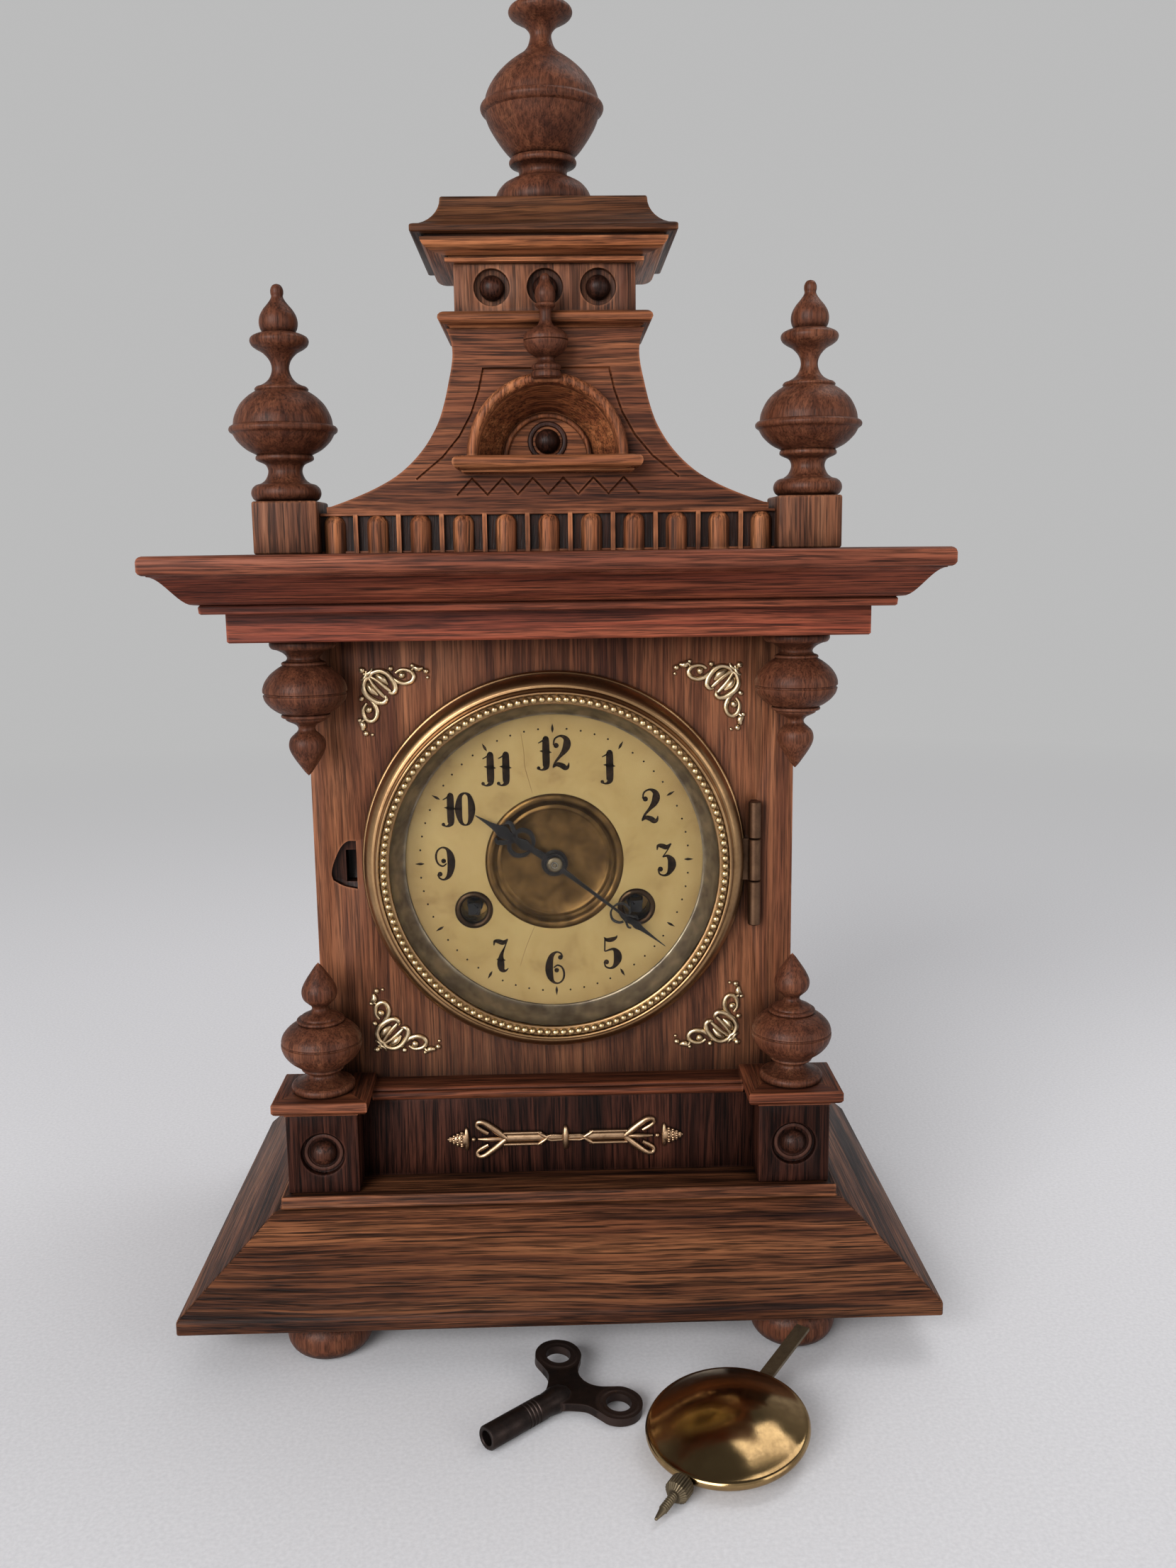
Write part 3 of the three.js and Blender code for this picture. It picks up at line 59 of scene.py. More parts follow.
TO_ROW = Matrix.Translation((0, SHIFT_Y * MM, 0)) @ Matrix.Scale(MM, 4)
DIAL_Z = 176.6
TAU = 2 * math.pi
SIDES = (("left", -1), ("right", 1))


def place(x, y, z):
    """A design point in the row frame, in metres."""
    return TO_ROW @ Vector((x, y, z))


# Camera, solved from the photograph
YAW, PITCH, ROLL = 0.02601, 0.17048, -0.01257
CAMERA_AT = (-0.12, -524.18, 297.22)
LENS, SENSOR = 31.38, 36.0
forward = Vector((math.sin(YAW) * math.cos(PITCH), math.cos(YAW) * math.cos(PITCH), -math.sin(PITCH)))
level = Vector((math.cos(YAW), -math.sin(YAW), 0))
upright = level.cross(forward)
side = math.cos(ROLL) * level + math.sin(ROLL) * upright
above = -math.sin(ROLL) * level + math.cos(ROLL) * upright
camera = bpy.data.objects.new("camera", bpy.data.cameras.new("camera"))
camera.data.lens = LENS
camera.data.sensor_width = SENSOR
camera.data.clip_start = 0.01
camera.data.clip_end = 50
turn = Matrix((side, above, -forward)).transposed()
camera.matrix_world = Matrix.Translation(place(*CAMERA_AT)) @ turn.to_4x4()
bpy.context.collection.objects.link(camera)
bpy.context.scene.camera = camera
bpy.context.scene.view_settings.view_transform = "Standard"


# Pieces from meshes
def new_object(name, bm):
    """A linked object that holds a bmesh."""
    mesh = bpy.data.meshes.new(name)
    bm.to_mesh(mesh)
    bm.free()
    piece = bpy.data.objects.new(name, mesh)
    bpy.context.collection.objects.link(piece)
    return piece


def declare(piece, body, stands_for):
    """Hangs a piece on the empty of the body it rides on, and hides the node that it stands for."""
    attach(piece, body)
    if stands_for:
        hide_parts(stands_for)


def to_object(name, bm, finish, body="case", stands_for=None, smooth=40):
    """Turns a bmesh in design millimetres into a piece in the row frame."""
    piece = new_object(name, moved(bm, TO_ROW))
    piece.data.materials.append(finish)
    soften(piece.data, smooth)
    declare(piece, body, stands_for)
    return piece


def refine(node, finish, width, segments=2, body="case"):
    """A copy of a CAD node with flat facets joined up and its edges rounded."""
    bm = bmesh.new()
    bm.from_mesh(nodes[node].data)
    bmesh.ops.remove_doubles(bm, verts=bm.verts, dist=2e-6)
    bmesh.ops.dissolve_limit(bm, angle_limit=math.radians(1), verts=bm.verts, edges=bm.edges)
    bmesh.ops.recalc_face_normals(bm, faces=bm.faces)
    piece = new_object(node + "_shape", bm)
    piece.data.materials.append(finish)
    bevelled(piece, width, segments)
    declare(piece, body, node)
    return piece


def soften(mesh, angle):
    """Smooth shading with edges sharper than the angle kept crisp."""
    limit = math.radians(angle)
    bm = bmesh.new()
    bm.from_mesh(mesh)
    for face in bm.faces:
        face.smooth = True
    for edge in bm.edges:
        edge.smooth = len(edge.link_faces) == 2 and edge.calc_face_angle(0) < limit
    bm.to_mesh(mesh)
    bm.free()


def bake(piece):
    """Applies every modifier on a piece."""
    bpy.context.view_layer.update()
    graph = bpy.context.evaluated_depsgraph_get()
    mesh = bpy.data.meshes.new_from_object(piece.evaluated_get(graph))
    piece.modifiers.clear()
    old = piece.data
    piece.data = mesh
    mesh.name = piece.name
    bpy.data.meshes.remove(old)


def bevelled(piece, width, segments=2):
    """Applies a rounded bevel of that width, in millimetres, to the sharp edges."""
    modifier = piece.modifiers.new("bevel", "BEVEL")
    modifier.width = width * MM
    modifier.segments = segments
    modifier.limit_method = "ANGLE"
    modifier.angle_limit = math.radians(30)
    modifier.miter_outer = "MITER_ARC"
    modifier.use_clamp_overlap = True
    bake(piece)
    soften(piece.data, 35)
    return piece


def carved(piece, *cutters):
    """Cuts bmeshes in design millimetres out of a piece, one after another."""
    for cutter in cutters:
        holder = new_object("cutter", moved(cutter, TO_ROW))
        modifier = piece.modifiers.new("carve", "BOOLEAN")
        modifier.operation = "DIFFERENCE"
        modifier.solver = "EXACT"
        modifier.use_self = True
        modifier.object = holder
        bake(piece)
        mesh = holder.data
        bpy.data.objects.remove(holder)
        bpy.data.meshes.remove(mesh)
    return piece


def second_finish(piece, finish, middle, inside):
    """Gives the faces whose offset from a design point passes the test a second finish."""
    piece.data.materials.append(finish)
    middle = place(*middle)
    for face in piece.data.polygons:
        if inside((face.center - middle) / MM):
            face.material_index = 1


# Lines and shapes, all in design millimetres
def smooth_line(points, steps):
    """Points on a rounded line through the given points; a repeated point makes a corner."""
    out = []
    last = len(points) - 1
    for i in range(last):
        a, b, c, d = [points[min(max(i + k, 0), last)] for k in (-1, 0, 1, 2)]
        if b == c:
            continue
        if a == b:
            a = [2 * p - q for p, q in zip(b, c)]
        if c == d:
            d = [2 * q - p for p, q in zip(b, c)]
        for k in range(steps):
            t = k / steps
            out.append(tuple(
                0.5 * (2 * q + (r - p) * t + (2 * p - 5 * q + 4 * r - s) * t * t
                       + (3 * q - p - 3 * r + s) * t ** 3)
                for p, q, r, s in zip(a, b, c, d)))
    out.append(tuple(points[-1]))
    return out


def circle(radius, sides, x=0, z=0):
    angles = [TAU * i / sides for i in range(sides)]
    return [(x + radius * math.cos(a), z + radius * math.sin(a)) for a in angles]


def quarter_turn(steps):
    return [math.pi / 2 * k / steps for k in range(steps + 1)]


def skin(rings, capped=True):
    """A surface over rings of points, each joined to the next, with its two ends closed."""
    bm = bmesh.new()
    rows = [[bm.verts.new(point) for point in ring] for ring in rings]
    count = len(rows[0])
    for low, high in zip(rows, rows[1:]):
        for k in range(count):
            after = (k + 1) % count
            bm.faces.new((low[k], low[after], high[after], high[k]))
    if capped:
        bm.faces.new(rows[0])
        bm.faces.new(rows[-1])
    else:
        bmesh.ops.remove_doubles(bm, verts=bm.verts, dist=1e-4)
    bmesh.ops.recalc_face_normals(bm, faces=bm.faces)
    return bm


def lathe(profile, sides, at=(0, 0, 0), axis="Z", flip=False):
    """A turned shape from (radius, height) points about a vertical or front-to-back axis."""
    rings = []
    for r, h in profile:
        h = -h if flip else h
        ring = [(x, y, h) if axis == "Z" else (x, h, y) for x, y in circle(r, sides)]
        rings.append([Vector(at) + Vector(spot) for spot in ring])
    return skin(rings, capped=False)


def slab(outline, y0, y1, holes=()):
    """A flat outline in X and Z, with holes, carried from y0 back to y1."""
    curve = bpy.data.curves.new("outline", "CURVE")
    curve.dimensions = "2D"
    curve.fill_mode = "BOTH"
    curve.extrude = abs(y1 - y0) / 2
    for loop in (outline, *holes):
        spline = curve.splines.new("POLY")
        spline.points.add(len(loop) - 1)
        for point, (x, z) in zip(spline.points, loop):
            point.co = (x, z, 0, 1)
        spline.use_cyclic_u = True
    holder = bpy.data.objects.new("outline", curve)
    bpy.context.collection.objects.link(holder)
    graph = bpy.context.evaluated_depsgraph_get()
    graph.update()
    mesh = bpy.data.meshes.new_from_object(holder.evaluated_get(graph))
    bm = bmesh.new()
    bm.from_mesh(mesh)
    bpy.data.objects.remove(holder)
    bpy.data.curves.remove(curve)
    bpy.data.meshes.remove(mesh)
    moved(bm, Matrix.Translation((0, (y0 + y1) / 2, 0)) @ Matrix.Rotation(math.pi / 2, 4, "X"))
    bmesh.ops.remove_doubles(bm, verts=bm.verts, dist=1e-4)
    bmesh.ops.recalc_face_normals(bm, faces=bm.faces)
    return bm


def mitred(levels, x=0):
    """Rectangles stacked and mitred at the corners: (height, half width, front, back)."""
    return skin([[(x - half, front, z), (x + half, front, z), (x + half, back, z), (x - half, back, z)]
                 for z, half, front, back in levels])


def box(x0, x1, y0, y1, z0, z1):
    bm = bmesh.new()
    bmesh.ops.create_cube(bm, size=1)
    middle = Matrix.Translation(((x0 + x1) / 2, (y0 + y1) / 2, (z0 + z1) / 2))
    return moved(bm, middle @ Matrix.Diagonal((x1 - x0, y1 - y0, z1 - z0, 1)))


def tube(points, radii, sides=8, squash=1.0):
    """A closed bar along points, with its own radius at each; squash thins it from front to back."""
    rings = []
    last = len(points) - 1
    spots = [Vector(p) for p in points]
    radii = [radii] * len(points) if isinstance(radii, (int, float)) else radii
    for i, spot in enumerate(spots):
        along = (spots[min(i + 1, last)] - spots[max(i - 1, 0)]).normalized()
        across = along.cross(Vector((0, -1, 0))).normalized()
        out = squash * across.cross(along).normalized()
        rings.append([spot + u * across + v * out for u, v in circle(radii[i], sides)])
    return skin(rings)


def ball(radius, at, detail=2, squash=(1, 1, 1)):
    bm = bmesh.new()
    bmesh.ops.create_icosphere(bm, subdivisions=detail, radius=radius)
    return moved(bm, Matrix.Translation(at) @ Matrix.Diagonal((*squash, 1)))


def dome(radius, height, x, y, z):
    """A low turned boss that faces the front, on a back at y."""
    profile = [(radius * math.cos(t), y - height * math.sin(t)) for t in quarter_turn(9)]
    return lathe([(0, y), *profile], 40, (x, 0, z), "Y")


def merged(*parts):
    """Several bmeshes as one."""
    out = bmesh.new()
    for part in parts:
        mesh = bpy.data.meshes.new("part")
        part.to_mesh(mesh)
        part.free()
        out.from_mesh(mesh)
        bpy.data.meshes.remove(mesh)
    return out


def moved(bm, matrix):
    bmesh.ops.transform(bm, matrix=matrix, verts=bm.verts)
    if matrix.determinant() < 0:
        bmesh.ops.reverse_faces(bm, faces=bm.faces)
    return bm


# Materials: every one is built from nodes, in object space
class Finish:
    """A material with short calls for adding nodes to it."""

    def __init__(self, name, slot):
        self.material = bpy.data.materials.new(name)
        self.material.use_nodes = True
        self.material["slot"] = slot
        self.tree = self.material.node_tree
        self.surface = self.tree.nodes["Principled BSDF"]
        self.spot = self.add("ShaderNodeTexCoord").outputs["Object"]

    def add(self, kind, **settings):
        node = self.tree.nodes.new(kind)
        for key, value in settings.items():
            setattr(node, key, value)
        return node

    def link(self, source, target):
        self.tree.links.new(source, target)

    def put(self, socket, value):
        """Links another socket, or sets a number or a colour."""
        if isinstance(value, bpy.types.NodeSocket):
            self.link(value, socket)
        elif socket.type == "RGBA":
            socket.default_value = (*value, 1)
        else:
            socket.default_value = value

    def feed(self, node, **values):
        for key, value in values.items():
            self.put(node.inputs[key.replace("_", " ")], value)

    def axes(self, vector):
        """The X, Y and Z sockets of a vector."""
        node = self.add("ShaderNodeSeparateXYZ")
        self.link(vector, node.inputs[0])
        return node.outputs

    def noise(self, scale, detail, rough=0.55, distortion=0.0, source=None, turn=(0, 0, 0)):
        """Noise with one scale, or one for each axis, in waves to the metre."""
        grid = self.add("ShaderNodeMapping")
        grid.inputs["Scale"].default_value = scale if isinstance(scale, tuple) else (scale,) * 3
        grid.inputs["Rotation"].default_value = turn
        self.link(source or self.spot, grid.inputs["Vector"])
        node = self.add("ShaderNodeTexNoise")
        self.feed(node, Vector=grid.outputs["Vector"], Scale=1, Detail=detail, Roughness=rough,
                  Distortion=distortion)
        return node.outputs["Fac"]

    def ramp(self, factor, *stops):
        node = self.add("ShaderNodeValToRGB")
        while len(node.color_ramp.elements) < len(stops):
            node.color_ramp.elements.new(0.5)
        for element, (at, colour) in zip(node.color_ramp.elements, stops):
            element.position = at
            element.color = (*colour, 1)
        self.link(factor, node.inputs["Fac"])
        return node.outputs["Color"]

    def grey(self, factor, low, high, dark=0.0, light=1.0):
        """Maps low..high onto dark..light, and holds it there beyond."""
        node = self.add("ShaderNodeMapRange")
        self.feed(node, Value=factor, From_Min=low, From_Max=high, To_Min=dark, To_Max=light)
        return node.outputs["Result"]

    def math(self, operation, a, b):
        node = self.add("ShaderNodeMath", operation=operation)
        self.put(node.inputs[0], a)
        self.put(node.inputs[1], b)
        return node.outputs["Value"]

    def blend(self, a, share, b):
        """Two grey sockets added up: a share of a and the rest of b."""
        return self.math("ADD", self.math("MULTIPLY", a, share), self.math("MULTIPLY", b, 1 - share))

    def mix(self, factor, a, b, blend="MIX"):
        node = self.add("ShaderNodeMix", data_type="RGBA", blend_type=blend)
        for number, value in ((0, factor), (6, a), (7, b)):
            self.put(node.inputs[number], value)
        return node.outputs[2]

    def times(self, a, b):
        return self.mix(1.0, a, b, "MULTIPLY")

    def crevice(self, distance, inside=False):
        node = self.add("ShaderNodeAmbientOcclusion", samples=8, inside=inside)
        node.inputs["Distance"].default_value = distance * MM
        return node.outputs["AO"]

    def dirtied(self, colour, hollow, dirt):
        """Darkens a colour towards a dark shade where hollow is low: painted shade in hollows and crevices.
        """
        return self.times(colour, self.ramp(hollow, (0, dirt), (1, (1, 1, 1))))

    def bump(self, height, strength, distance):
        node = self.add("ShaderNodeBump")
        self.feed(node, Strength=strength, Distance=distance * MM, Height=height)
        return node.outputs["Normal"]

    def done(self, **values):
        self.feed(self.surface, **values)
        return self.material


def shade(red, green, blue):
    """A colour written as 8-bit screen values, in linear light."""
    return tuple((v / 255 / 12.92) if v / 255 < 0.04045 else ((v / 255 + 0.055) / 1.055) ** 2.4
                 for v in (red, green, blue))


# Oak: waves across and along the grain, and how far a board's grain wanders
BEND, BROAD, RINGS, FINE, PORES = (9, 4), (46, 4), (300, 6), (900, 22), (1700, 44)
WANDER = 5 * MM
BAND_WANDER = 6 * MM


def turned_at_mitres(made):
    """Texture coordinates whose grain turns with a moulding round its corners, and the face's direction."""
    facing = made.axes(made.add("ShaderNodeTexCoord").outputs["Normal"])
    straight = made.axes(made.spot)
    turned = made.add("ShaderNodeCombineXYZ")
    for source, target in ((1, 0), (0, 1), (2, 2)):
        made.link(straight[source], turned.inputs[target])
    sideways, ahead = [made.math("ABSOLUTE", facing[axis], 0) for axis in (0, 1)]
    lateral = made.math("GREATER_THAN", sideways, ahead)
    chosen = made.add("ShaderNodeMix", data_type="VECTOR")
    made.link(lateral, chosen.inputs[0])
    made.link(made.spot, chosen.inputs[4])
    made.link(turned.outputs[0], chosen.inputs[5])
    return chosen.outputs[1], facing


def oak(name, grain, light, middle, dark, slot="oak", streak=1.0, gloss=0.46, mitre=False, dirt=0.75,
        grime_and_light=None, figure=0.12, flat=None, sheen=0.13):
    """Stained oak with open pores, painted shade in its crevices and rubbed edges; grain is the axis it runs
    along.

    Grime and light is a height, a second height and how much of the colour is left at the first: a real stain
    on the base, painted light and shade on the cap and the cornice, and a darker bottom on the front panel;
    flat is how much a level top keeps, on a mitred piece, as painted shade.
    """
    made = Finish(name, slot)
    light, middle, dark = shade(*light), shade(*middle), shade(*dark)
    spot = made.spot
    if mitre:
        spot, facing = turned_at_mitres(made)

    def grain_noise(waves, detail, rough=0.55):
        across, along = waves
        scale = tuple(along if axis == grain else across for axis in "XYZ")
        return made.noise(scale, detail, rough, source=spot)

    bend = grain_noise(BEND, 2)
    shift = made.grey(bend, 0, 1, -WANDER, WANDER)
    offset = made.add("ShaderNodeCombineXYZ")
    for k, axis in enumerate("XYZ"):
        if axis != grain:
            made.link(shift, offset.inputs[k])
    wandering = made.add("ShaderNodeVectorMath", operation="ADD")
    made.link(spot, wandering.inputs[0])
    made.link(offset.outputs[0], wandering.inputs[1])
    spot = wandering.outputs[0]

    broad = grain_noise(BROAD, 3, 0.5)
    rings = grain_noise(RINGS, 5, 0.62)
    fine = grain_noise(FINE, 4, 0.72)
    pores = grain_noise(PORES, 2, 0.5)
    tone = made.blend(broad, 0.45, rings)
    colour = made.ramp(tone, (0.5 - figure, dark), (0.5, middle), (0.5 + figure, light))
    lines = made.grey(fine, 0.4, 0.57, 1 - 0.55 * streak, 1.12)
    pits = made.grey(pores, 0.38, 0.48, 1 - 0.6 * streak)
    grainy = made.times(colour, made.math("MULTIPLY", lines, pits))
    edge = made.grey(made.crevice(1.1, True), 0.55, 0.95, 0.5, 0.0)
    scuff = made.math("MULTIPLY", edge, made.grey(made.noise(55, 3), 0.4, 0.6))
    rubbed = made.mix(scuff, grainy, tuple(min(1, 1.7 * v + 0.012) for v in light))
    # Painted shade: darker in hollows and crevices, from occlusion within 9 mm
    hollow = made.grey(made.crevice(9), 0.25, 0.85, 1 - dirt)
    toned = made.dirtied(rubbed, hollow, (0.02, 0.012, 0.008))
    # Lighter or darker by height: a stain low on the base, painted light and shade on the cap and cornice,
    # and the front panel darker towards the bottom
    if grime_and_light:
        low, high, left = grime_and_light
        wander = made.grey(bend, 0, 1, -BAND_WANDER, BAND_WANDER)
        rise = made.math("ADD", made.axes(made.spot)["Z"], wander)
        toned = made.times(toned, made.grey(rise, low * MM, high * MM, left))
    # Painted shade on level tops
    if flat is not None:
        toned = made.times(toned, made.grey(facing[2], 0.85, 0.97, 1.0, flat))
    rough = made.grey(made.blend(fine, 0.5, broad), 0.3, 0.7, gloss + 0.14, gloss - 0.06)
    relief = made.math("ADD", made.math("MULTIPLY", pits, 0.7), made.math("MULTIPLY", lines, 0.5))
    return made.done(Base_Color=toned, Roughness=rough, Normal=made.bump(relief, 0.35, 0.25),
                     Specular_IOR_Level=sheen)


def brass(name, bright, tarnish, rough, patina, scale, polish=0.0):
    """Aged brass: cloudy tarnish, painted shade in the hollows and fine scratches."""
    made = Finish(name, "brass")
    speck = made.noise(scale * 14, 3, 0.6)
    spots = made.blend(made.noise(scale, 5, 0.6, 0.4), 0.8, speck)
    colour = made.ramp(spots, (0.62 - patina * 0.5, shade(*bright)), (0.86 - patina * 0.2, shade(*tarnish)))
    # Painted shade in the hollows, from occlusion within 2.2 mm
    shaded = made.dirtied(colour, made.grey(made.crevice(2.2), 0.2, 0.9, 0.35), (0.02, 0.015, 0.008))
    scratch = made.noise((2600, 300, 2600), 2, turn=(0.4, 0.2, 0.9))
    return made.done(Base_Color=shaded, Roughness=made.grey(spots, 0.35, 0.7, rough - polish, rough + 0.16),
                     Metallic=1.0, Normal=made.bump(made.math("ADD", scratch, speck), 0.06, 0.1))


def iron(name, base, worn, rough, metal=0.85, slot="steel", sheen=0.5):
    """Dark browned steel with rubbed edges."""
    made = Finish(name, slot)
    cloud = made.noise(240, 5, 0.62)
    speck = made.noise(2200, 3, 0.6)
    colour = made.ramp(made.blend(cloud, 0.7, speck), (0.38, shade(*base)), (0.66, shade(*worn)))
    edge = made.grey(made.crevice(0.7, True), 0.5, 0.95, 0.5, 0.0)
    rubbed = made.mix(edge, colour, tuple(min(1, 2.2 * v) for v in shade(*worn)))
    return made.done(Base_Color=rubbed, Metallic=metal,
                     Roughness=made.grey(cloud, 0.3, 0.7, rough + 0.12, rough - 0.08),
                     Normal=made.bump(speck, 0.12, 0.12), Specular_IOR_Level=sheen)


def celluloid(light, tint, stain):
    """Cream dial with soft yellowing, darker towards the rim."""
    made = Finish("cream_dial", "enamel")
    cloud = made.noise(42, 4, 0.6, 0.5)
    colour = made.ramp(cloud, (0.3, shade(*light)), (0.55, shade(*tint)), (0.78, shade(*stain)))
    from_middle = made.add("ShaderNodeVectorMath", operation="SUBTRACT")
    made.link(made.spot, from_middle.inputs[0])
    from_middle.inputs[1].default_value = place(0, 0, DIAL_Z)
    reach = made.add("ShaderNodeVectorMath", operation="LENGTH")
    made.link(from_middle.outputs[0], reach.inputs[0])
    rim = made.grey(reach.outputs["Value"], 50 * MM, 64 * MM, 0.0, 0.55)
    toned = made.mix(rim, colour, shade(*stain))
    dirty = made.times(toned, made.grey(made.noise(1500, 2), 0.3, 0.4, 0.9))
    return made.done(Base_Color=dirty, Roughness=made.grey(cloud, 0.3, 0.7, 0.3, 0.42),
                     Normal=made.bump(cloud, 0.05, 0.4), Specular_IOR_Level=0.2)


def ink(name, dark, faded):
    made = Finish(name, "black_steel")
    wear = made.noise(900, 3)
    return made.done(Base_Color=made.ramp(wear, (0.45, shade(*dark)), (0.75, shade(*faded))),
                     Roughness=made.grey(wear, 0.3, 0.7, 0.4, 0.55), Specular_IOR_Level=0.06)


def sight_metal():
    made = Finish("sight_metal", "steel")
    cloud = made.noise(150, 4)
    colour = made.ramp(cloud, (0.35, shade(96, 84, 70)), (0.65, shade(140, 126, 104)))
    # Painted shade in the hollows, from occlusion within 4 mm
    shaded = made.dirtied(colour, made.grey(made.crevice(4), 0.1, 0.9, 0.25), (0.03, 0.025, 0.02))
    return made.done(Base_Color=shaded, Metallic=0.75, Roughness=made.grey(cloud, 0.3, 0.7, 0.42, 0.3))


def clear_glass():
    made = Finish("clear_glass", "glass")
    smear = made.noise(26, 4, 0.6)
    return made.done(Base_Color=made.ramp(smear, (0.3, (0.97, 0.98, 0.97)), (0.7, (1, 1, 1))),
                     Roughness=made.grey(smear, 0.45, 0.8, 0.0, 0.04), IOR=1.16, Specular_IOR_Level=0.25,
                     Transmission_Weight=1.0)


# Woods: light, middle and dark colours of each piece's grain
OAK_PANEL = oak("oak_panel", "Z", (136, 87, 59), (112, 67, 44), (72, 38, 25), streak=0.8,
                grime_and_light=(92, 135, 0.42))
OAK_SIDE = oak("oak_side", "Z", (140, 94, 68), (114, 71, 49), (74, 42, 29))
# Frieze oak: very dark, partly the wood's own darker tone and partly painted shade
OAK_FRIEZE = oak("oak_frieze", "Z", (66, 36, 26), (49, 25, 18), (27, 13, 9), streak=1.2, sheen=0.07)
# Base oak: darker towards the bottom from a stain, and painted shade on its level tops
OAK_BASE = oak("oak_base", "X", (140, 88, 57), (104, 61, 39), (50, 26, 18), streak=1.2, mitre=True,
               grime_and_light=(20, 50, 0.55), figure=0.09, flat=0.4)
# Pedestal caps and frieze moulding: painted shade on their level tops
OAK_TOP = oak("oak_top", "X", (128, 74, 48), (104, 56, 36), (68, 33, 22), mitre=True, gloss=0.42, flat=0.5)
OAK_BOARD = oak("oak_board", "X", (134, 78, 56), (108, 58, 41), (70, 35, 25), mitre=True, gloss=0.42)
# Cap oak: its light colours are painted light on the down-facing ovolo; above 405.2 mm it drops to 0.26,
# painted shade on the top slope
OAK_CAP = oak("oak_cap", "X", (178, 116, 76), (152, 92, 58), (102, 56, 35), mitre=True, gloss=0.42,
              grime_and_light=(405.2, 404.4, 0.26), dirt=0.5)
OAK_RAIL = oak("oak_rail", "X", (162, 106, 70), (136, 82, 52), (92, 50, 32), mitre=True, dirt=0.55)
# Niche oak: a lighter copy of the gable oak, painted light inside the shaded niche
OAK_NICHE = oak("oak_niche", "X", (164, 106, 68), (138, 82, 50), (94, 50, 31), dirt=0.3)
# Cornice oak: below 276 mm, on the fascia, it is 1.55 times lighter, painted light on the front-facing board
OAK_CORNICE = oak("oak_cornice", "X", (114, 59, 40), (93, 43, 29), (62, 27, 19), mitre=True, gloss=0.42,
                  grime_and_light=(276, 278, 1.55))
OAK_GABLE = oak("oak_gable", "X", (130, 78, 50), (102, 57, 36), (60, 30, 20), streak=1.1, dirt=0.5)
OAK_TURNED = oak("oak_turned", "Z", (112, 69, 48), (89, 51, 35), (60, 32, 22), "dark_oak", streak=0.7,
                 gloss=0.36, figure=0.17)
OAK_REED = oak("oak_reed", "Z", (160, 102, 66), (132, 78, 49), (88, 47, 29))
OAK_BOSS = oak("oak_boss", "Z", (70, 40, 29), (52, 29, 21), (34, 18, 13), "dark_oak", gloss=0.34)
OAK_INSIDE = oak("oak_inside", "Z", (150, 106, 72), (126, 84, 54), (98, 62, 40), gloss=0.6, dirt=0.5)

# Metals, dial and glass: bright and tarnished colours, roughness, and share and size of the tarnish
BRASS_BEZEL = brass("brass_bezel", (174, 138, 98), (104, 76, 52), 0.27, 0.55, 60)
BRASS_BEAD = brass("brass_bead", (218, 192, 146), (148, 114, 74), 0.24, 0.35, 160)
BRASS_MOUNT = brass("brass_mount", (226, 202, 164), (140, 110, 78), 0.26, 0.45, 260)
BRASS_BAR = brass("brass_bar", (198, 164, 130), (108, 80, 58), 0.28, 0.5, 260)
BRASS_CENTRE = brass("brass_centre", (124, 94, 54), (58, 40, 22), 0.38, 0.8, 130)
BRASS_BOB = brass("brass_bob", (166, 138, 96), (96, 70, 44), 0.12, 0.4, 34, polish=0.06)
BRASS_WORK = brass("brass_work", (206, 164, 98), (150, 112, 62), 0.34, 0.4, 70)
BRASS_DULL = brass("brass_dull", (108, 82, 63), (62, 44, 34), 0.4, 0.6, 130)
BRASS_EYE = brass("brass_eye", (70, 52, 36), (40, 29, 21), 0.36, 0.6, 130)
BRASS_GREY = brass("brass_grey", (132, 118, 94), (76, 66, 54), 0.42, 0.6, 130)
STEEL_KEY = iron("steel_key", (33, 26, 24), (52, 41, 37), 0.46)
STEEL_WORK = iron("steel_work", (92, 90, 88), (150, 148, 144), 0.34, 0.95)
STEEL_GONG = iron("steel_gong", (46, 50, 60), (84, 88, 98), 0.36, 0.9)
BLACK_HAND = iron("black_hand", (15, 13, 13), (28, 25, 24), 0.4, 0.0, "black_steel", 0.16)
# Near black: the winding arbors' dark steel with painted shade, and the painted shade of the winding-hole
# liners
BLACK_EYE = iron("black_eye", (10, 8, 8), (20, 16, 14), 0.2, 0.0, "black_steel", 0.3)
SIGHT = sight_metal()
CREAM = celluloid((166, 141, 92), (156, 130, 81), (120, 92, 55))
INK = ink("numeral_ink", (24, 15, 8), (54, 38, 24))
CRACK = ink("crack_line", (96, 70, 44), (132, 104, 70))
GLASS = clear_glass()


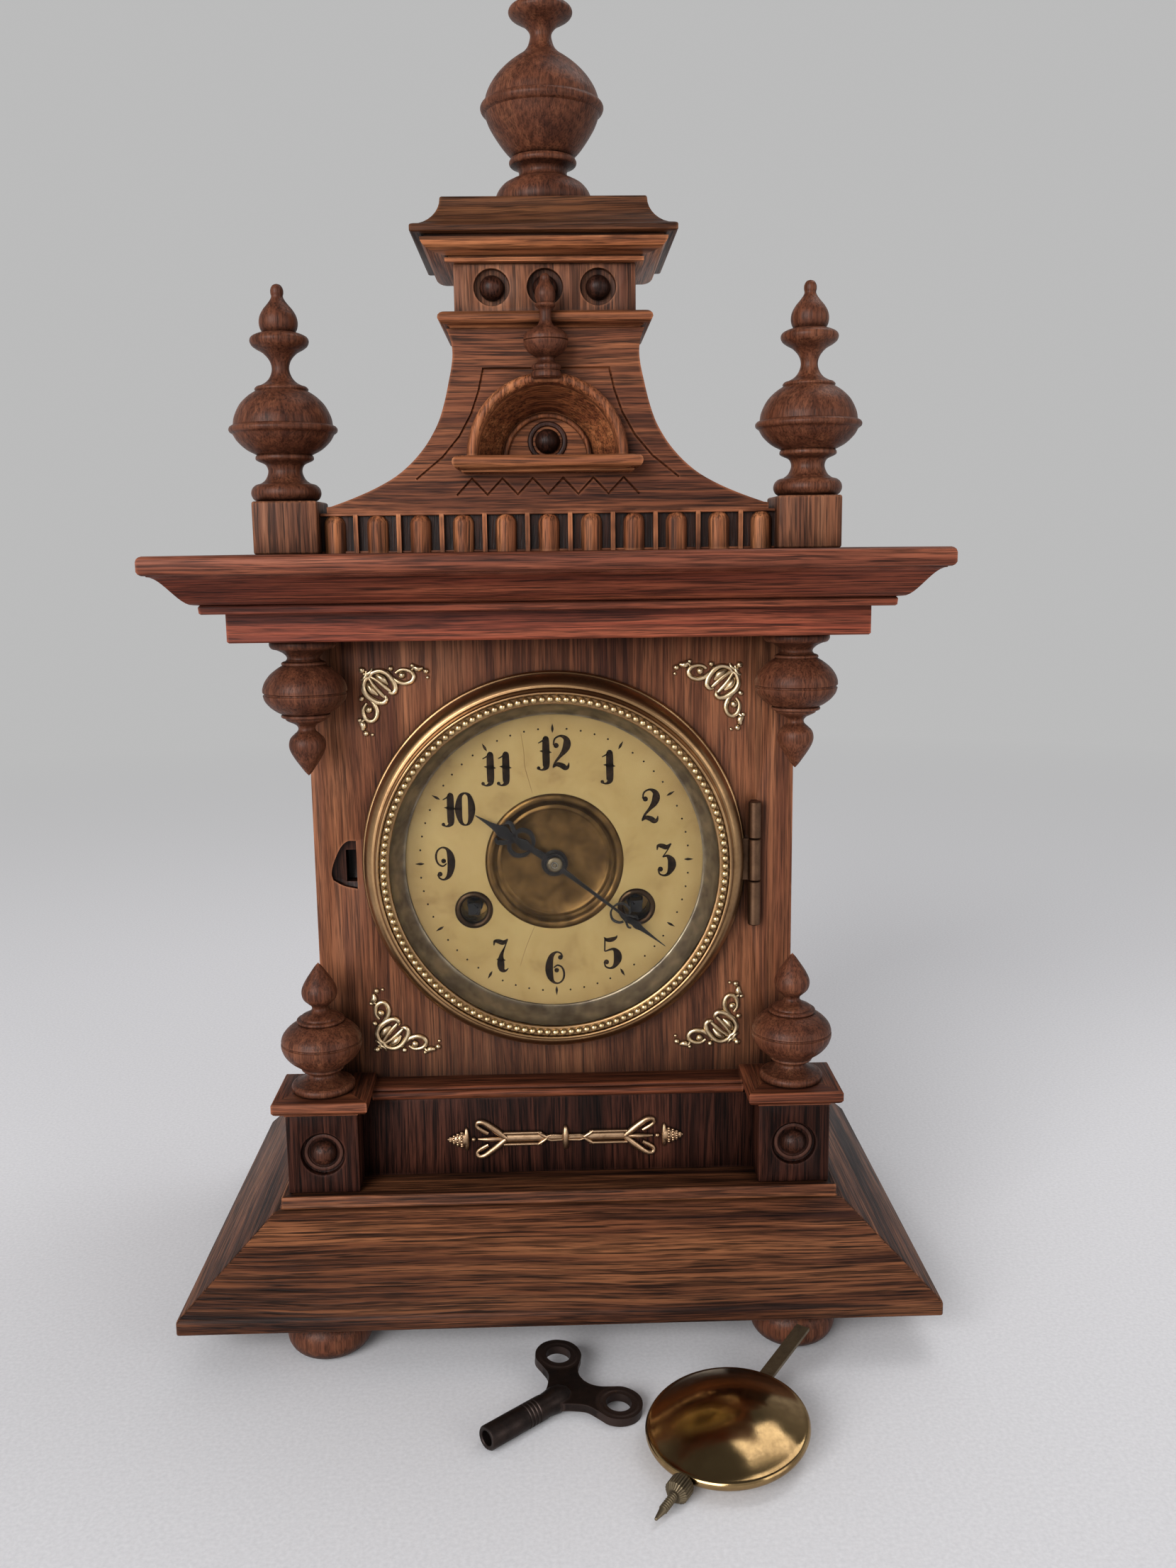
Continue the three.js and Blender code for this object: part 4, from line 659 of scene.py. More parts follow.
# Turned work, as (radius, height) points
FOOT = [(0, 0), (9.5, 0), (9.5, 0), (13, 1.4), (15.2, 4), (16, 7.4), (15.4, 11), (13.6, 13.8), (13.6, 13.8),
        (12.6, 14.4), (12.6, 14.4), (12, 15.4), (11.4, 16), (11.4, 16), (0, 16)]
URN = [(0, 0), (11.2, 0), (11.2, 0), (12.1, 0.8), (12.2, 2.2), (11.4, 3.3), (10.2, 3.6), (10.2, 3.6),
       (9.4, 3.9), (7.6, 4.8), (6.3, 6), (6, 7), (6.6, 7.9), (6.6, 7.9), (7.8, 8.3), (8.2, 8.9), (7.9, 9.5),
       (7.9, 9.5), (10, 10.8), (12.6, 12.9), (14.5, 15.4), (15.4, 17.8), (15.5, 19.3), (15.5, 19.3),
       (15, 19.7), (15, 20.1), (15.4, 20.5), (15.4, 20.5), (14.7, 22.6), (12.8, 24.9), (10.4, 26.7),
       (8.6, 27.5), (8.6, 27.5), (9.1, 28), (8.9, 28.8), (7.6, 29.2), (7.6, 29.2), (7.3, 29.9), (6, 30.6),
       (4, 31.6), (3.1, 32.8), (3.4, 34), (4.7, 35.2), (6.2, 36.8), (6.8, 38.9), (6.5, 41.2), (5, 44.2),
       (3, 47.2), (1.3, 49.6), (0, 51)]
SIDE_FINIAL = [
    (0, 0), (10.2, 0), (10.2, 0), (11.7, 0.9), (12.5, 2.3), (12.6, 3.6), (12.1, 5), (10.9, 6.1), (9.6, 6.5),
    (9.6, 6.5), (8.9, 6.7), (8.9, 6.7), (7.4, 7.9), (6.4, 9.8), (6.2, 11.6), (7.1, 13.4), (9.6, 14.6),
    (9.6, 14.6), (10.4, 15.2), (10.4, 16.2), (9.9, 16.8), (9.9, 16.8), (13.6, 18.8), (16.6, 21.6),
    (18.2, 24.2), (18.2, 24.2), (19.2, 24.9), (19.5, 25.9), (19, 26.8), (17.9, 27.4), (17.9, 27.4),
    (17.3, 30.4), (15.3, 34.4), (12.4, 37.4), (9.4, 39.4), (9.4, 39.4), (9.6, 40.1), (8.9, 40.9), (8.2, 41),
    (8.2, 41), (5.6, 42.4), (3.9, 44.4), (3.1, 47.3), (3.9, 50.2), (6, 52.6), (8.4, 54), (8.4, 54),
    (9.9, 55.2), (10.5, 56.8), (9.9, 58.2), (8, 59.2), (5.9, 59.8), (5.9, 59.8), (6.6, 61.2), (6.9, 63.2),
    (6.5, 65.4), (5.3, 67.6), (3.8, 69.4), (2.6, 71), (2.1, 72.2), (2.3, 73.4), (2.2, 74.8), (1.4, 76.1),
    (0, 76.6)]
TOP_FINIAL = [
    (0, 3), (14.4, 3), (14.4, 3), (16.4, 4), (17.5, 5.8), (17.7, 8), (16.8, 10.6), (14.6, 13.2),
    (11.6, 14.9), (11.6, 14.9), (10.2, 15.2), (10.2, 15.2), (9.2, 16), (8.8, 17.4), (9.4, 18.7),
    (10.8, 19.5), (10.8, 19.5), (12, 20), (12.4, 21.1), (11.9, 22.3), (11.9, 22.3), (11, 22.7), (11, 22.7),
    (12.6, 24), (14.7, 26.4), (17.2, 29.9), (19.4, 33.6), (20.9, 37.4), (20.9, 37.4), (22, 38.2),
    (22.5, 39.6), (22, 40.9), (20.9, 41.6), (20.9, 41.6), (20.1, 44.6), (18.3, 48), (15.6, 51.4),
    (12.4, 54.4), (9.3, 56.7), (6.8, 58.4), (5, 60.4), (4.1, 62.8), (3.9, 64.6), (4.6, 66.2), (6.4, 68),
    (8.9, 69.4), (8.9, 69.4), (10.8, 70.6), (11.6, 72.1), (10.9, 73.7), (9, 74.8), (6.7, 75.4), (6.7, 75.4),
    (7.5, 77.4), (7.9, 79.8), (6.9, 83.4), (4.8, 87.2), (3.2, 90), (2, 92.4), (1.2, 94.2), (0, 94.5)]
GABLE_URN = [
    (0, 0), (4.8, 0), (4.8, 0), (5.2, 0.8), (5, 1.7), (4.2, 2.1), (4.2, 2.1), (3.2, 3), (3, 4.2), (4.4, 5),
    (4.4, 5), (6.2, 6.2), (7.4, 8), (7.9, 9.8), (7.9, 9.8), (7.5, 10.1), (7.9, 10.4), (7.9, 10.4),
    (7.6, 11.8), (6.2, 13.4), (4.4, 14.4), (4.4, 14.4), (3, 15.2), (2.2, 16.6), (2, 18.6), (2.2, 20.4),
    (3.4, 21.6), (3.4, 21.6), (3.7, 22.2), (3, 22.9), (3, 22.9), (3.4, 24.2), (3.6, 25.8), (3.1, 27.8),
    (2.2, 29.4), (1.7, 30.6), (1.6, 31.6), (1, 32.5), (0, 32.8)]
BASE_TOP = 52.7
FASCIA_Z = 265.65
CORNICE_TOP = 296.5
PEDESTAL_TOP = 90.9
BLOCK_TOP, CAP_TOP = 315.4, 415.7
FOOT_X, FOOT_FRONT_Y, FOOT_BACK_Y = 88, -44, 92
URN_X, URN_Y = 91.5, -15.7
FINIAL_X, FINIAL_Y, TOP_FINIAL_Y = 96, -9, 9
GABLE_URN_Y, GABLE_URN_Z = -24.5, 359.3


def turned(name, profile, at, node, flip=False, sides=64):
    bm = lathe(smooth_line(profile, 5), sides, at, flip=flip)
    to_object(name, bm, OAK_TURNED, stands_for=node, smooth=34)


for hand, sign in SIDES:
    for end, y in (("front", FOOT_FRONT_Y), ("back", FOOT_BACK_Y)):
        turned(f"bun_foot_{end}_{hand}", FOOT, (FOOT_X * sign, y, 0), f"foot_{end}_{hand}", sides=48)
    turned(f"standing_urn_{hand}", URN, (URN_X * sign, URN_Y, PEDESTAL_TOP), f"urn_lower_{hand}")
    turned(f"hanging_urn_{hand}", URN, (URN_X * sign, URN_Y, FASCIA_Z), f"urn_upper_{hand}", flip=True)
    turned(f"corner_finial_{hand}", SIDE_FINIAL, (FINIAL_X * sign, FINIAL_Y, BLOCK_TOP),
           f"side_finial_{hand}")
turned("crown_finial", TOP_FINIAL, (0, TOP_FINIAL_Y, CAP_TOP), "top_finial")
turned("small_gable_urn", GABLE_URN, (0, GABLE_URN_Y, GABLE_URN_Z), "gable_urn", sides=40)

# Boards that keep their CAD outlines
refine("base_plinth", OAK_BASE, 0.9, 3)
refine("back_door", OAK_INSIDE, 0.6, body="door")
for hand, sign in SIDES:
    refine(f"side_panel_{hand}", OAK_SIDE, 0.7)
    refine(f"finial_block_{hand}", OAK_SIDE, 0.9, 3)

# Front board with the dial hole, pockets for the hinge plates and a scooped thumb notch
CASE_HALF, BOARD_THICK = 93.6, 12
DIAL_HOLE_R = 58
NOTCH_X = -82.25
NOTCH_LINE = [(4.9, 9.4), (4.9, 9.4), (1.6, 9.3), (-0.9, 7.2), (-2.6, 4.2), (-4.2, 0.4), (-5.1, -3.4),
              (-4.6, -6.2), (-4.6, -6.2), (-0.4, -8.6), (4.9, -9.9), (4.9, -9.9)]
NOTCH_HOLE = [(0.4, 5.4), (4.9, 5.4), (4.9, -7.4), (0.4, -7.4)]
SCOOP_DEPTH, NOTCH_DEPTH = 2.6, 9
HINGE_X, HINGE_Y = 78.2, -4
PLATE_HALF, POCKET_DEPTH = 1.2, 6
HINGE_POCKETS = ((150.4, 168), (185.2, 199.7))


def by_notch(points, depth):
    return slab([(NOTCH_X + x, DIAL_Z + z) for x, z in points], -1, depth)


def hinge_plate(low, high, depth):
    return box(HINGE_X - PLATE_HALF, HINGE_X + PLATE_HALF, HINGE_Y, depth, low, high)


front_outline = [(-CASE_HALF, BASE_TOP), (CASE_HALF, BASE_TOP), (CASE_HALF, FASCIA_Z),
                 (-CASE_HALF, FASCIA_Z)]
front = slab(front_outline, 0, BOARD_THICK, [circle(DIAL_HOLE_R, 120, 0, DIAL_Z)])
front = to_object("front_board", front, OAK_PANEL, stands_for="front_panel")
carved(front, by_notch(smooth_line(NOTCH_LINE, 5), SCOOP_DEPTH), by_notch(NOTCH_HOLE, NOTCH_DEPTH),
       *[hinge_plate(low, high, POCKET_DEPTH) for low, high in HINGE_POCKETS])
bevelled(front, 0.35)
# The faces inside the thumb notch take the dark boss oak: painted shade in the recess
second_finish(front, OAK_BOSS, (NOTCH_X, 0, DIAL_Z),
              lambda off: off.y > 0.4 and abs(off.x) < 6 and abs(off.z) < 11)

# Frieze board with the bead along its top; the bead is given as (height, reach to the front)
FRIEZE_HALF, FRIEZE_FRONT, FRIEZE_TOP = 77.25, -12.7, 84.25
BEAD_HALF = 72.95
FRIEZE_BEAD = [(84.2, 12.75), (84.6, 13.4), (85.2, 14.3), (86, 14.8), (86.9, 14.8), (87.6, 14.4),
               (88, 13.7), (88.1, 12.9), (87.7, 12.4), (87.7, 11.8), (88.3, 11.5), (88.8, 10.9)]
frieze = box(-FRIEZE_HALF, FRIEZE_HALF, FRIEZE_FRONT, 0, BASE_TOP, FRIEZE_TOP)
bevelled(to_object("frieze_board", frieze, OAK_FRIEZE), 0.3)
frieze_bead = mitred([(z, BEAD_HALF, -out, 0) for z, out in FRIEZE_BEAD])
to_object("frieze_moulding", frieze_bead, OAK_TOP, stands_for="frieze_panel", smooth=50)

# Pedestals: a block with a moulded cap, a sunk round and a boss in it
PEDESTAL_X, PEDESTAL_HALF = 91.1, 13.8
PEDESTAL_FRONT = -26.9
BLOCK_HIGH = 84.4
BOSS_Z, SUNK_R, SUNK_Y = 68.5, 8.5, -24.4
PEDESTAL_CAP = [(84.3, 0.2), (84.9, 0.3), (85.3, 1.1), (85.5, 1.9), (85.9, 2.9), (86.5, 3.8), (87.1, 4.1),
                (87.3, 4.35), (90.4, 4.35), (PEDESTAL_TOP, 3.9)]
BOSS_RING = [(5.9, -24.3), (6.2, -24.9), (6.8, -25.1), (7.4, -24.9), (7.7, -24.3)]
for hand, sign in SIDES:
    x = PEDESTAL_X * sign
    block = box(x - PEDESTAL_HALF, x + PEDESTAL_HALF, PEDESTAL_FRONT, 0, BASE_TOP, BLOCK_HIGH)
    block = to_object(f"pedestal_block_{hand}", block, OAK_FRIEZE, stands_for=f"pedestal_{hand}")
    sunk = [(0, -30), (SUNK_R, -30), (SUNK_R, SUNK_Y), (0, SUNK_Y)]
    carved(block, lathe(sunk, 48, (x, 0, BOSS_Z), "Y"))
    bevelled(block, 0.7)
    cap = mitred([(z, PEDESTAL_HALF + out, PEDESTAL_FRONT - out, 0) for z, out in PEDESTAL_CAP], x)
    to_object(f"pedestal_cap_{hand}", cap, OAK_TOP, smooth=50)
    boss = merged(dome(5.0, 4.6, x, SUNK_Y, BOSS_Z), lathe(BOSS_RING, 48, (x, 0, BOSS_Z), "Y"))
    to_object(f"pedestal_boss_{hand}", boss, OAK_BOSS)

# Cornice and the board on top of it, as (height, reach beyond the fascia)
CORNICE_HALF, CORNICE_FRONT, CORNICE_BACK = 114.7, -35.2, 108
cornice_curve = [(279.6 + 10 * u * u * (3 - 2 * u), 8.8 + 12.2 * u) for u in [k / 12 for k in range(13)]]
CORNICE_LINE = [(FASCIA_Z, -0.6), (FASCIA_Z + 0.6, 0), (275.9, 0), (276.2, -0.4), (276.2, 6.8),
                (276.6, 7.4), (278.6, 7.6), (279.2, 7.3), (279.4, 7), *cornice_curve, (289.9, 21)]
BOARD_LINE = [(289.8, 20.4), (290, 22.2), (290.5, 23), (291.4, 23.5), (294.6, 23.5), (295.6, 23.2),
              (296.2, 22.6), (CORNICE_TOP, 21.8)]


def around_case(levels):
    return mitred([(z, CORNICE_HALF + out, CORNICE_FRONT - out, CORNICE_BACK) for z, out in levels])


to_object("cornice_board", around_case(BOARD_LINE), OAK_BOARD)
to_object("cornice_moulding", around_case(CORNICE_LINE), OAK_CORNICE, stands_for="cornice", smooth=24)

# Fluted frieze: rounded reeds and thin fillets between two narrow strips
FLUTE_LOW, FLUTE_HIGH = CORNICE_TOP, 311.0
FLUTE_HALF, FLUTE_FLOOR, FLUTE_BACK = 83.1, -14.5, 34
STRIP_HALF, LOW_STRIP_FRONT, HIGH_STRIP_FRONT = 83.0, -15.6, -16.4
REED_PITCH, REED_COUNT = 15.6, 5
REED_HALF, REED_RISE = 3.9, 3.6
FILLET_HALF, FILLET_FRONT = 0.8, -16.7
ROOT_Y, ROOT_Z = FLUTE_FLOOR + 0.1, FLUTE_LOW + 0.1
flute_board = box(-FLUTE_HALF, FLUTE_HALF, FLUTE_FLOOR, FLUTE_BACK, FLUTE_LOW, FLUTE_HIGH)
to_object("flute_board", flute_board, OAK_BOSS, stands_for="fluted_frieze")
strips = merged(box(-STRIP_HALF, STRIP_HALF, LOW_STRIP_FRONT, ROOT_Y, FLUTE_LOW, FLUTE_LOW + 0.9),
                box(-STRIP_HALF, STRIP_HALF, HIGH_STRIP_FRONT, ROOT_Y, FLUTE_HIGH - 1.1, FLUTE_HIGH - 0.02))
bevelled(to_object("flute_strips", strips, OAK_GABLE), 0.4)


def reed(x):
    """A half-round bar with a domed top, standing on the flute floor."""
    dome_z = FLUTE_HIGH - 0.5 - REED_HALF
    levels = [(ROOT_Z, 1.0)]
    levels += [(dome_z + REED_HALF * math.sin(t), max(math.cos(t), 0.04)) for t in quarter_turn(8)]
    half_turn = [math.pi * k / 14 for k in range(15)]
    return skin([[(x + REED_HALF * share * math.cos(a), ROOT_Y - REED_RISE * share * math.sin(a), z)
                  for a in half_turn] for z, share in levels])


reeds = [reed(i * REED_PITCH) for i in range(-REED_COUNT, REED_COUNT + 1)]
for i in range(-REED_COUNT, REED_COUNT):
    x = (i + 0.5) * REED_PITCH
    reeds.append(box(x - FILLET_HALF, x + FILLET_HALF, FILLET_FRONT, ROOT_Y, ROOT_Z, FLUTE_HIGH - 0.6))
to_object("flute_reeds", merged(*reeds), OAK_REED, smooth=50)

# Gable: a bell-shaped board with a splayed niche and incised lines
GABLE_FRONT, GABLE_BACK = -16.0, 34.0
NICHE_Z, NICHE_R = 330.3, 25
NICHE_FLOOR_R, NICHE_FLOOR_Y = 17, -2
GABLE_SIDE = [(80.5, 311.02), (80.5, 311.02), (80.5, 313.2), (80.5, 313.2), (78.8, 313.4), (78.8, 313.4),
              (70.9, 316.2), (62.6, 319.7), (55.1, 323.8), (49.2, 328.6), (44.5, 333.8), (41.3, 338.6),
              (38.8, 343.5), (36.6, 350.2), (35, 356.9), (33.9, 362), (33.4, 366.7), (33.9, 371),
              (35.4, 375)]
BORDER = [(22.6, 361.2), (24.4, 353.5), (27.2, 345.6), (31.6, 337.8), (38, 330.4), (47.5, 322.8)]
ZIGZAG_HALF, ZIGZAG_COUNT = 33, 12
ZIGZAG_LOW, ZIGZAG_HIGH = 317, 322.8
GROOVE_HALF, GROOVE_DEPTH = 0.42, 0.7


def mirrored(points):
    return [(-x, z) for x, z in points]


def groove(points):
    """Small vees along a line on the gable's face, to be cut out."""
    wide = 1.6 * GROOVE_HALF
    vee = ((-wide, GABLE_FRONT - 0.4), (wide, GABLE_FRONT - 0.4), (0, GABLE_FRONT + GROOVE_DEPTH))
    parts = []
    for (x0, z0), (x1, z1) in zip(points, points[1:]):
        start, end = Vector((x0, 0, z0)), Vector((x1, 0, z1))
        along = (end - start).normalized()
        across = Vector((-along.z, 0, along.x))
        over = 0.6 * GROOVE_HALF * along
        parts.append(skin([[spot + across * w + Vector((0, y, 0)) for w, y in vee]
                           for spot in (start - over, end + over)]))
    return merged(*parts)


right_side = smooth_line(GABLE_SIDE, 3)
gable_outline = right_side + mirrored(reversed(right_side))
gable = slab(gable_outline, GABLE_FRONT, GABLE_BACK)
gable = to_object("gable_board", gable, OAK_GABLE, stands_for="gable")
niche_line = [(0, -30), (NICHE_R, -30), (NICHE_R, GABLE_FRONT), (NICHE_FLOOR_R, NICHE_FLOOR_Y),
              (0, NICHE_FLOOR_Y)]
niche = lathe(niche_line, 96, (0, 0, NICHE_Z), "Y")
bmesh.ops.bisect_plane(niche, geom=niche.verts[:] + niche.edges[:] + niche.faces[:],
                       plane_co=(0, 0, NICHE_Z - 0.5), plane_no=(0, 0, -1), clear_outer=True)
bmesh.ops.holes_fill(niche, edges=niche.edges)
bmesh.ops.recalc_face_normals(niche, faces=niche.faces)
top_line = [*mirrored(BORDER[:1]), BORDER[0]]
zigzag = [(ZIGZAG_HALF * (2 * k / ZIGZAG_COUNT - 1), ZIGZAG_HIGH if k % 2 else ZIGZAG_LOW)
          for k in range(ZIGZAG_COUNT + 1)]
carved(gable, niche, groove(top_line), groove(BORDER), groove(mirrored(BORDER)), groove(zigzag))
soften(gable.data, 24)
# The niche's inside takes the lighter niche oak: painted light in the recess
second_finish(gable, OAK_NICHE, (0, GABLE_FRONT, NICHE_Z),
              lambda off: off.y > 0.5 and math.hypot(off.x, off.z) < NICHE_R + 0.5 and off.z > -1)

# Niche arch, inner bead, boss, shelf and urn pad
GABLE_ROOT = -15.6
ARCH_LINE = [(24.9, GABLE_ROOT), (24.9, -21.6), (25.3, -23), (26.2, -23.9), (27.2, -24), (28.2, -23.4),
             (28.8, -22.2), (29, -20.8), (29, GABLE_ROOT)]
BEAD_LINE = [(16.9, -1.9), (16.6, -3.4), (15.8, -4), (15, -3.8), (14.6, -3), (14.6, -1.9)]
NICHE_BOSS_Z = 336.6
NICHE_RING = [(5.4, -2), (5.8, -2.8), (6.4, -3), (7, -2.8), (7.4, -2)]
SHELF_FRONT, SHELF_HALF = -24, 31
SHELF_LINE = [(324.4, 30), (324.8, 30.8), (325.4, SHELF_HALF), (325.7, 32), (326.3, 33.1), (327.2, 33.8),
              (328.2, 34), (329.2, 33.8), (330, 33.1), (330.4, 32)]
PAD_LINE = [(0, 356.5), (4.6, 356.5), (5.3, 357.1), (5.4, 358.2), (4.9, 359.1), (0, 359.28)]


def half_turned(profile):
    """A half ring over the niche from (radius, depth) points."""
    half_turn = [math.pi * k / 48 for k in range(49)]
    return skin([[(r * math.cos(a), y, NICHE_Z + r * math.sin(a)) for r, y in profile] for a in half_turn])


to_object("niche_arch", half_turned(ARCH_LINE), OAK_REED, smooth=50)
to_object("niche_bead", half_turned(BEAD_LINE), OAK_REED, smooth=60)
niche_boss = merged(dome(4.6, 4.4, 0, -2.2, NICHE_BOSS_Z), lathe(NICHE_RING, 40, (0, 0, NICHE_BOSS_Z), "Y"))
to_object("niche_boss", niche_boss, OAK_BOSS)
shelf = mitred([(z, half, SHELF_FRONT - (half - SHELF_HALF) * 1.1, GABLE_ROOT) for z, half in SHELF_LINE])
to_object("niche_shelf", shelf, OAK_RAIL, smooth=50)
urn_pad = merged(lathe(PAD_LINE, 40, (0, GABLE_URN_Y, 0)),
                 box(-4.4, 4.4, GABLE_URN_Y, GABLE_ROOT, 356.9, 358.8))
to_object("urn_pad", urn_pad, OAK_TURNED)

# Neck block with three bosses, its moulding and the cap
NECK_HALF, NECK_LOW, NECK_HIGH = 32.3, 379.6, 397
NECK_BOSS_X, NECK_BOSS_Z = 18.9, 389
NECK_SUNK_R, NECK_SUNK_Y = 6.35, -13.5
NECK_LINE = [(375, 1.6), (375.5, 1.9), (375.9, 2.6), (376, 3.6), (376.4, 4.6), (377.1, 5.4), (378, 5.8),
             (379, 5.6), (379.8, 4.9), (380.2, 4.1), (380.4, 3.2)]
ovolo = [(404 - 4.6 * math.cos(t), 3.6 + 7.2 * math.sin(t)) for t in quarter_turn(8)]
cavetto = [(407.9 + 10 * (1 - math.cos(t)) ** 0.8, 12.6 - 8.7 * math.sin(t)) for t in quarter_turn(8)]
CAP_LINE = [(397, 2), (397.3, 2.8), (398.6, 2.8), (398.8, 1.6), (399.3, 1.6), *ovolo, (404.2, 9.4),
            (404.9, 9.4), (405, 13.2), (405.4, 13.9), (407, 13.9), (407.5, 13.6), (407.8, 12.9), *cavetto,
            (418.4, 3.7), (418.7, 3.3)]


def around_neck(levels):
    return mitred([(z, NECK_HALF + out, GABLE_FRONT - out, GABLE_BACK + out) for z, out in levels])


neck = box(-NECK_HALF, NECK_HALF, GABLE_FRONT, GABLE_BACK, NECK_LOW, NECK_HIGH)
neck = to_object("neck_board", neck, OAK_SIDE, stands_for="neck_block")
neck_sunk = [(0, -20), (NECK_SUNK_R, -20), (NECK_SUNK_R, NECK_SUNK_Y), (0, NECK_SUNK_Y)]
bosses = []
for x in (-NECK_BOSS_X, 0, NECK_BOSS_X):
    carved(neck, lathe(neck_sunk, 40, (x, 0, NECK_BOSS_Z), "Y"))
    bosses.append(dome(4.4, 4.6, x, NECK_SUNK_Y - 0.1, NECK_BOSS_Z))
bevelled(neck, 0.5)
to_object("neck_bosses", merged(*bosses), OAK_BOSS)
to_object("neck_moulding", around_neck(NECK_LINE), OAK_RAIL, smooth=50)
to_object("cap_moulding", around_neck(CAP_LINE), OAK_CAP, stands_for="cap")


# Bezel, glass, sight ring and dial, set out from the dial centre
def faced(profile, sides, x=0, z=0):
    """A turned shape that faces the front, placed from the dial centre."""
    return lathe(profile, sides, (x, 0, DIAL_Z + z), "Y")


def closed(line):
    return [*line, line[0]]


def knuckle(low, high):
    """One barrel of the bezel's hinge."""
    barrel = [(0, low), (2.2, low), (2.5, low + 0.35), (2.5, high - 0.35), (2.2, high), (0, high)]
    return lathe(barrel, 24, (HINGE_X, HINGE_Y, 0))


BEZEL_LINE = smooth_line([
    (64.8, -0.05), (64.8, -0.05), (74.2, -0.05), (74.2, -0.05), (74.9, -0.7), (75, -1.7), (74.6, -2.5),
    (74, -2.8), (74, -2.8), (73.7, -3), (73.7, -3), (73.9, -4.6), (73.5, -6.6), (72.6, -8.5), (71.4, -10),
    (70.2, -10.8), (70.2, -10.8), (69.4, -10.9), (69.4, -10.9), (68.9, -11.8), (68.6, -13.2), (68.6, -13.2),
    (68.3, -14.4), (67.7, -14.9), (67.1, -14.6), (66.8, -13.8), (66.8, -13.8), (64, -13.6), (64, -13.6),
    (63.5, -13.4), (63.25, -12.95), (63.25, -12.95), (64.8, -12.95), (64.8, -12.95)], 4)
TONGUE_LOW, TONGUE_HIGH = 168.35, 184.85
BEAD_COUNT, BEAD_R, BEAD_AT, BEAD_Y = 135, 1.38, 65.3, -14.3
PANE_R, PANE_FRONT, PANE_BACK = 64.5, -12.85, -11.65
SIGHT_LINE = smooth_line([
    (64.65, -11.62), (64.65, -11.62), (63.3, -11.62), (63.3, -11.62), (62.9, -10.4), (61.4, -6.8),
    (59.6, -3.6), (58.6, -2.5), (58.6, -2.5), (58.2, -2.3), (58.2, -1.5), (58.2, -1.5), (64.65, -1.5),
    (64.65, -1.5)], 4)
to_object("bezel_turned", faced(closed(BEZEL_LINE), 160), BRASS_BEZEL, "bezel", stands_for="bezel")
tongue = box(70.6, 77.4, -3.2, -1.9, TONGUE_LOW, TONGUE_HIGH)
to_object("bezel_knuckle", merged(knuckle(TONGUE_LOW, TONGUE_HIGH), tongue), BRASS_DULL, "bezel")
beads = [ball(BEAD_R, (x, BEAD_Y, z)) for x, z in circle(BEAD_AT, BEAD_COUNT, 0, DIAL_Z)]
to_object("bezel_beads", merged(*beads), BRASS_BEAD, "bezel", smooth=80)
pane = faced([(0, PANE_FRONT), (PANE_R, PANE_FRONT), (PANE_R, PANE_BACK), (0, PANE_BACK)], 128)
to_object("bezel_pane", pane, GLASS, "bezel", stands_for="bezel_glass")
to_object("sight_collar", faced(closed(SIGHT_LINE), 144), SIGHT, "bezel", stands_for="sight_ring")

# Dial ring with its two winding holes, and the brass centre
DIAL_R, DIAL_FRONT = 64, -1.2
CENTRE_HOLE_R, WIND_HOLE_R = 24.9, 5.5
WIND_X, WIND_Z = 32, -18.9
EYELET_LINE = smooth_line([(5.2, 0.1), (5.2, -1.3), (5.5, -2), (6.2, -2.3), (7, -2), (7.4, -1.5),
                           (7.5, -1.15)], 3)
# A black liner inside each winding hole: painted shade in the hole
SHADE_LINER_LINE = [(5.35, -0.9), (5.45, -0.9), (5.45, 10.5), (5.35, 10.5)]
CENTRE_LINE = smooth_line([
    (3.4, 0.6), (3.4, 0.6), (3.4, -0.3), (3.4, -0.3), (8, -0.1), (20.4, -0.1), (20.4, -0.1), (21.2, -0.5),
    (22, -0.3), (22.4, -0.2), (22.4, -0.2), (23.4, -0.9), (24.4, -1.9), (25.4, -2.2), (26.4, -1.95),
    (27.1, -1.25), (27.1, -1.25), (24.7, -1.2), (24.7, 0.6), (24.7, 0.6), (3.4, 0.6)], 3)
dial_holes = [circle(CENTRE_HOLE_R, 96, 0, DIAL_Z)]
dial_holes += [circle(WIND_HOLE_R, 40, WIND_X * sign, DIAL_Z + WIND_Z) for _, sign in SIDES]
dial = slab(circle(DIAL_R, 144, 0, DIAL_Z), DIAL_FRONT, 0, dial_holes)
to_object("dial_plate", dial, CREAM, stands_for="dial_ring", smooth=30)
WIND_PARTS = (("eyelet", EYELET_LINE, 48, BRASS_EYE), ("shade_liner", SHADE_LINER_LINE, 40, BLACK_EYE))
for hand, sign in SIDES:
    for part, line, sides, finish in WIND_PARTS:
        ring = faced(closed(line), sides, WIND_X * sign, WIND_Z)
        to_object(f"winding_{part}_{hand}", ring, finish, smooth=60)
to_object("centre_disc", faced(CENTRE_LINE, 112), BRASS_CENTRE, stands_for="dial_centre")


# Printed numerals: brush strokes of changing width, with ball ends
def ribbon(points, front, back, steps):
    """A thin closed strip from (x, z, half width) points."""
    line = smooth_line(points, steps)
    last = len(line) - 1
    rings = []
    for i, (x, z, w) in enumerate(line):
        ahead, behind = line[min(i + 1, last)], line[max(i - 1, 0)]
        way = Vector((ahead[0] - behind[0], ahead[1] - behind[1])).normalized() * max(w, 0.004)
        near, far = (x + way.y, z - way.x), (x - way.y, z + way.x)
        corners = ((near, front), (far, front), (far, back), (near, back))
        rings.append([(px, y, pz) for (px, pz), y in corners])
    return skin(rings)


def dot(x, z, radius, front, back, sides=14):
    return slab(circle(radius, sides, x, z), front, back)


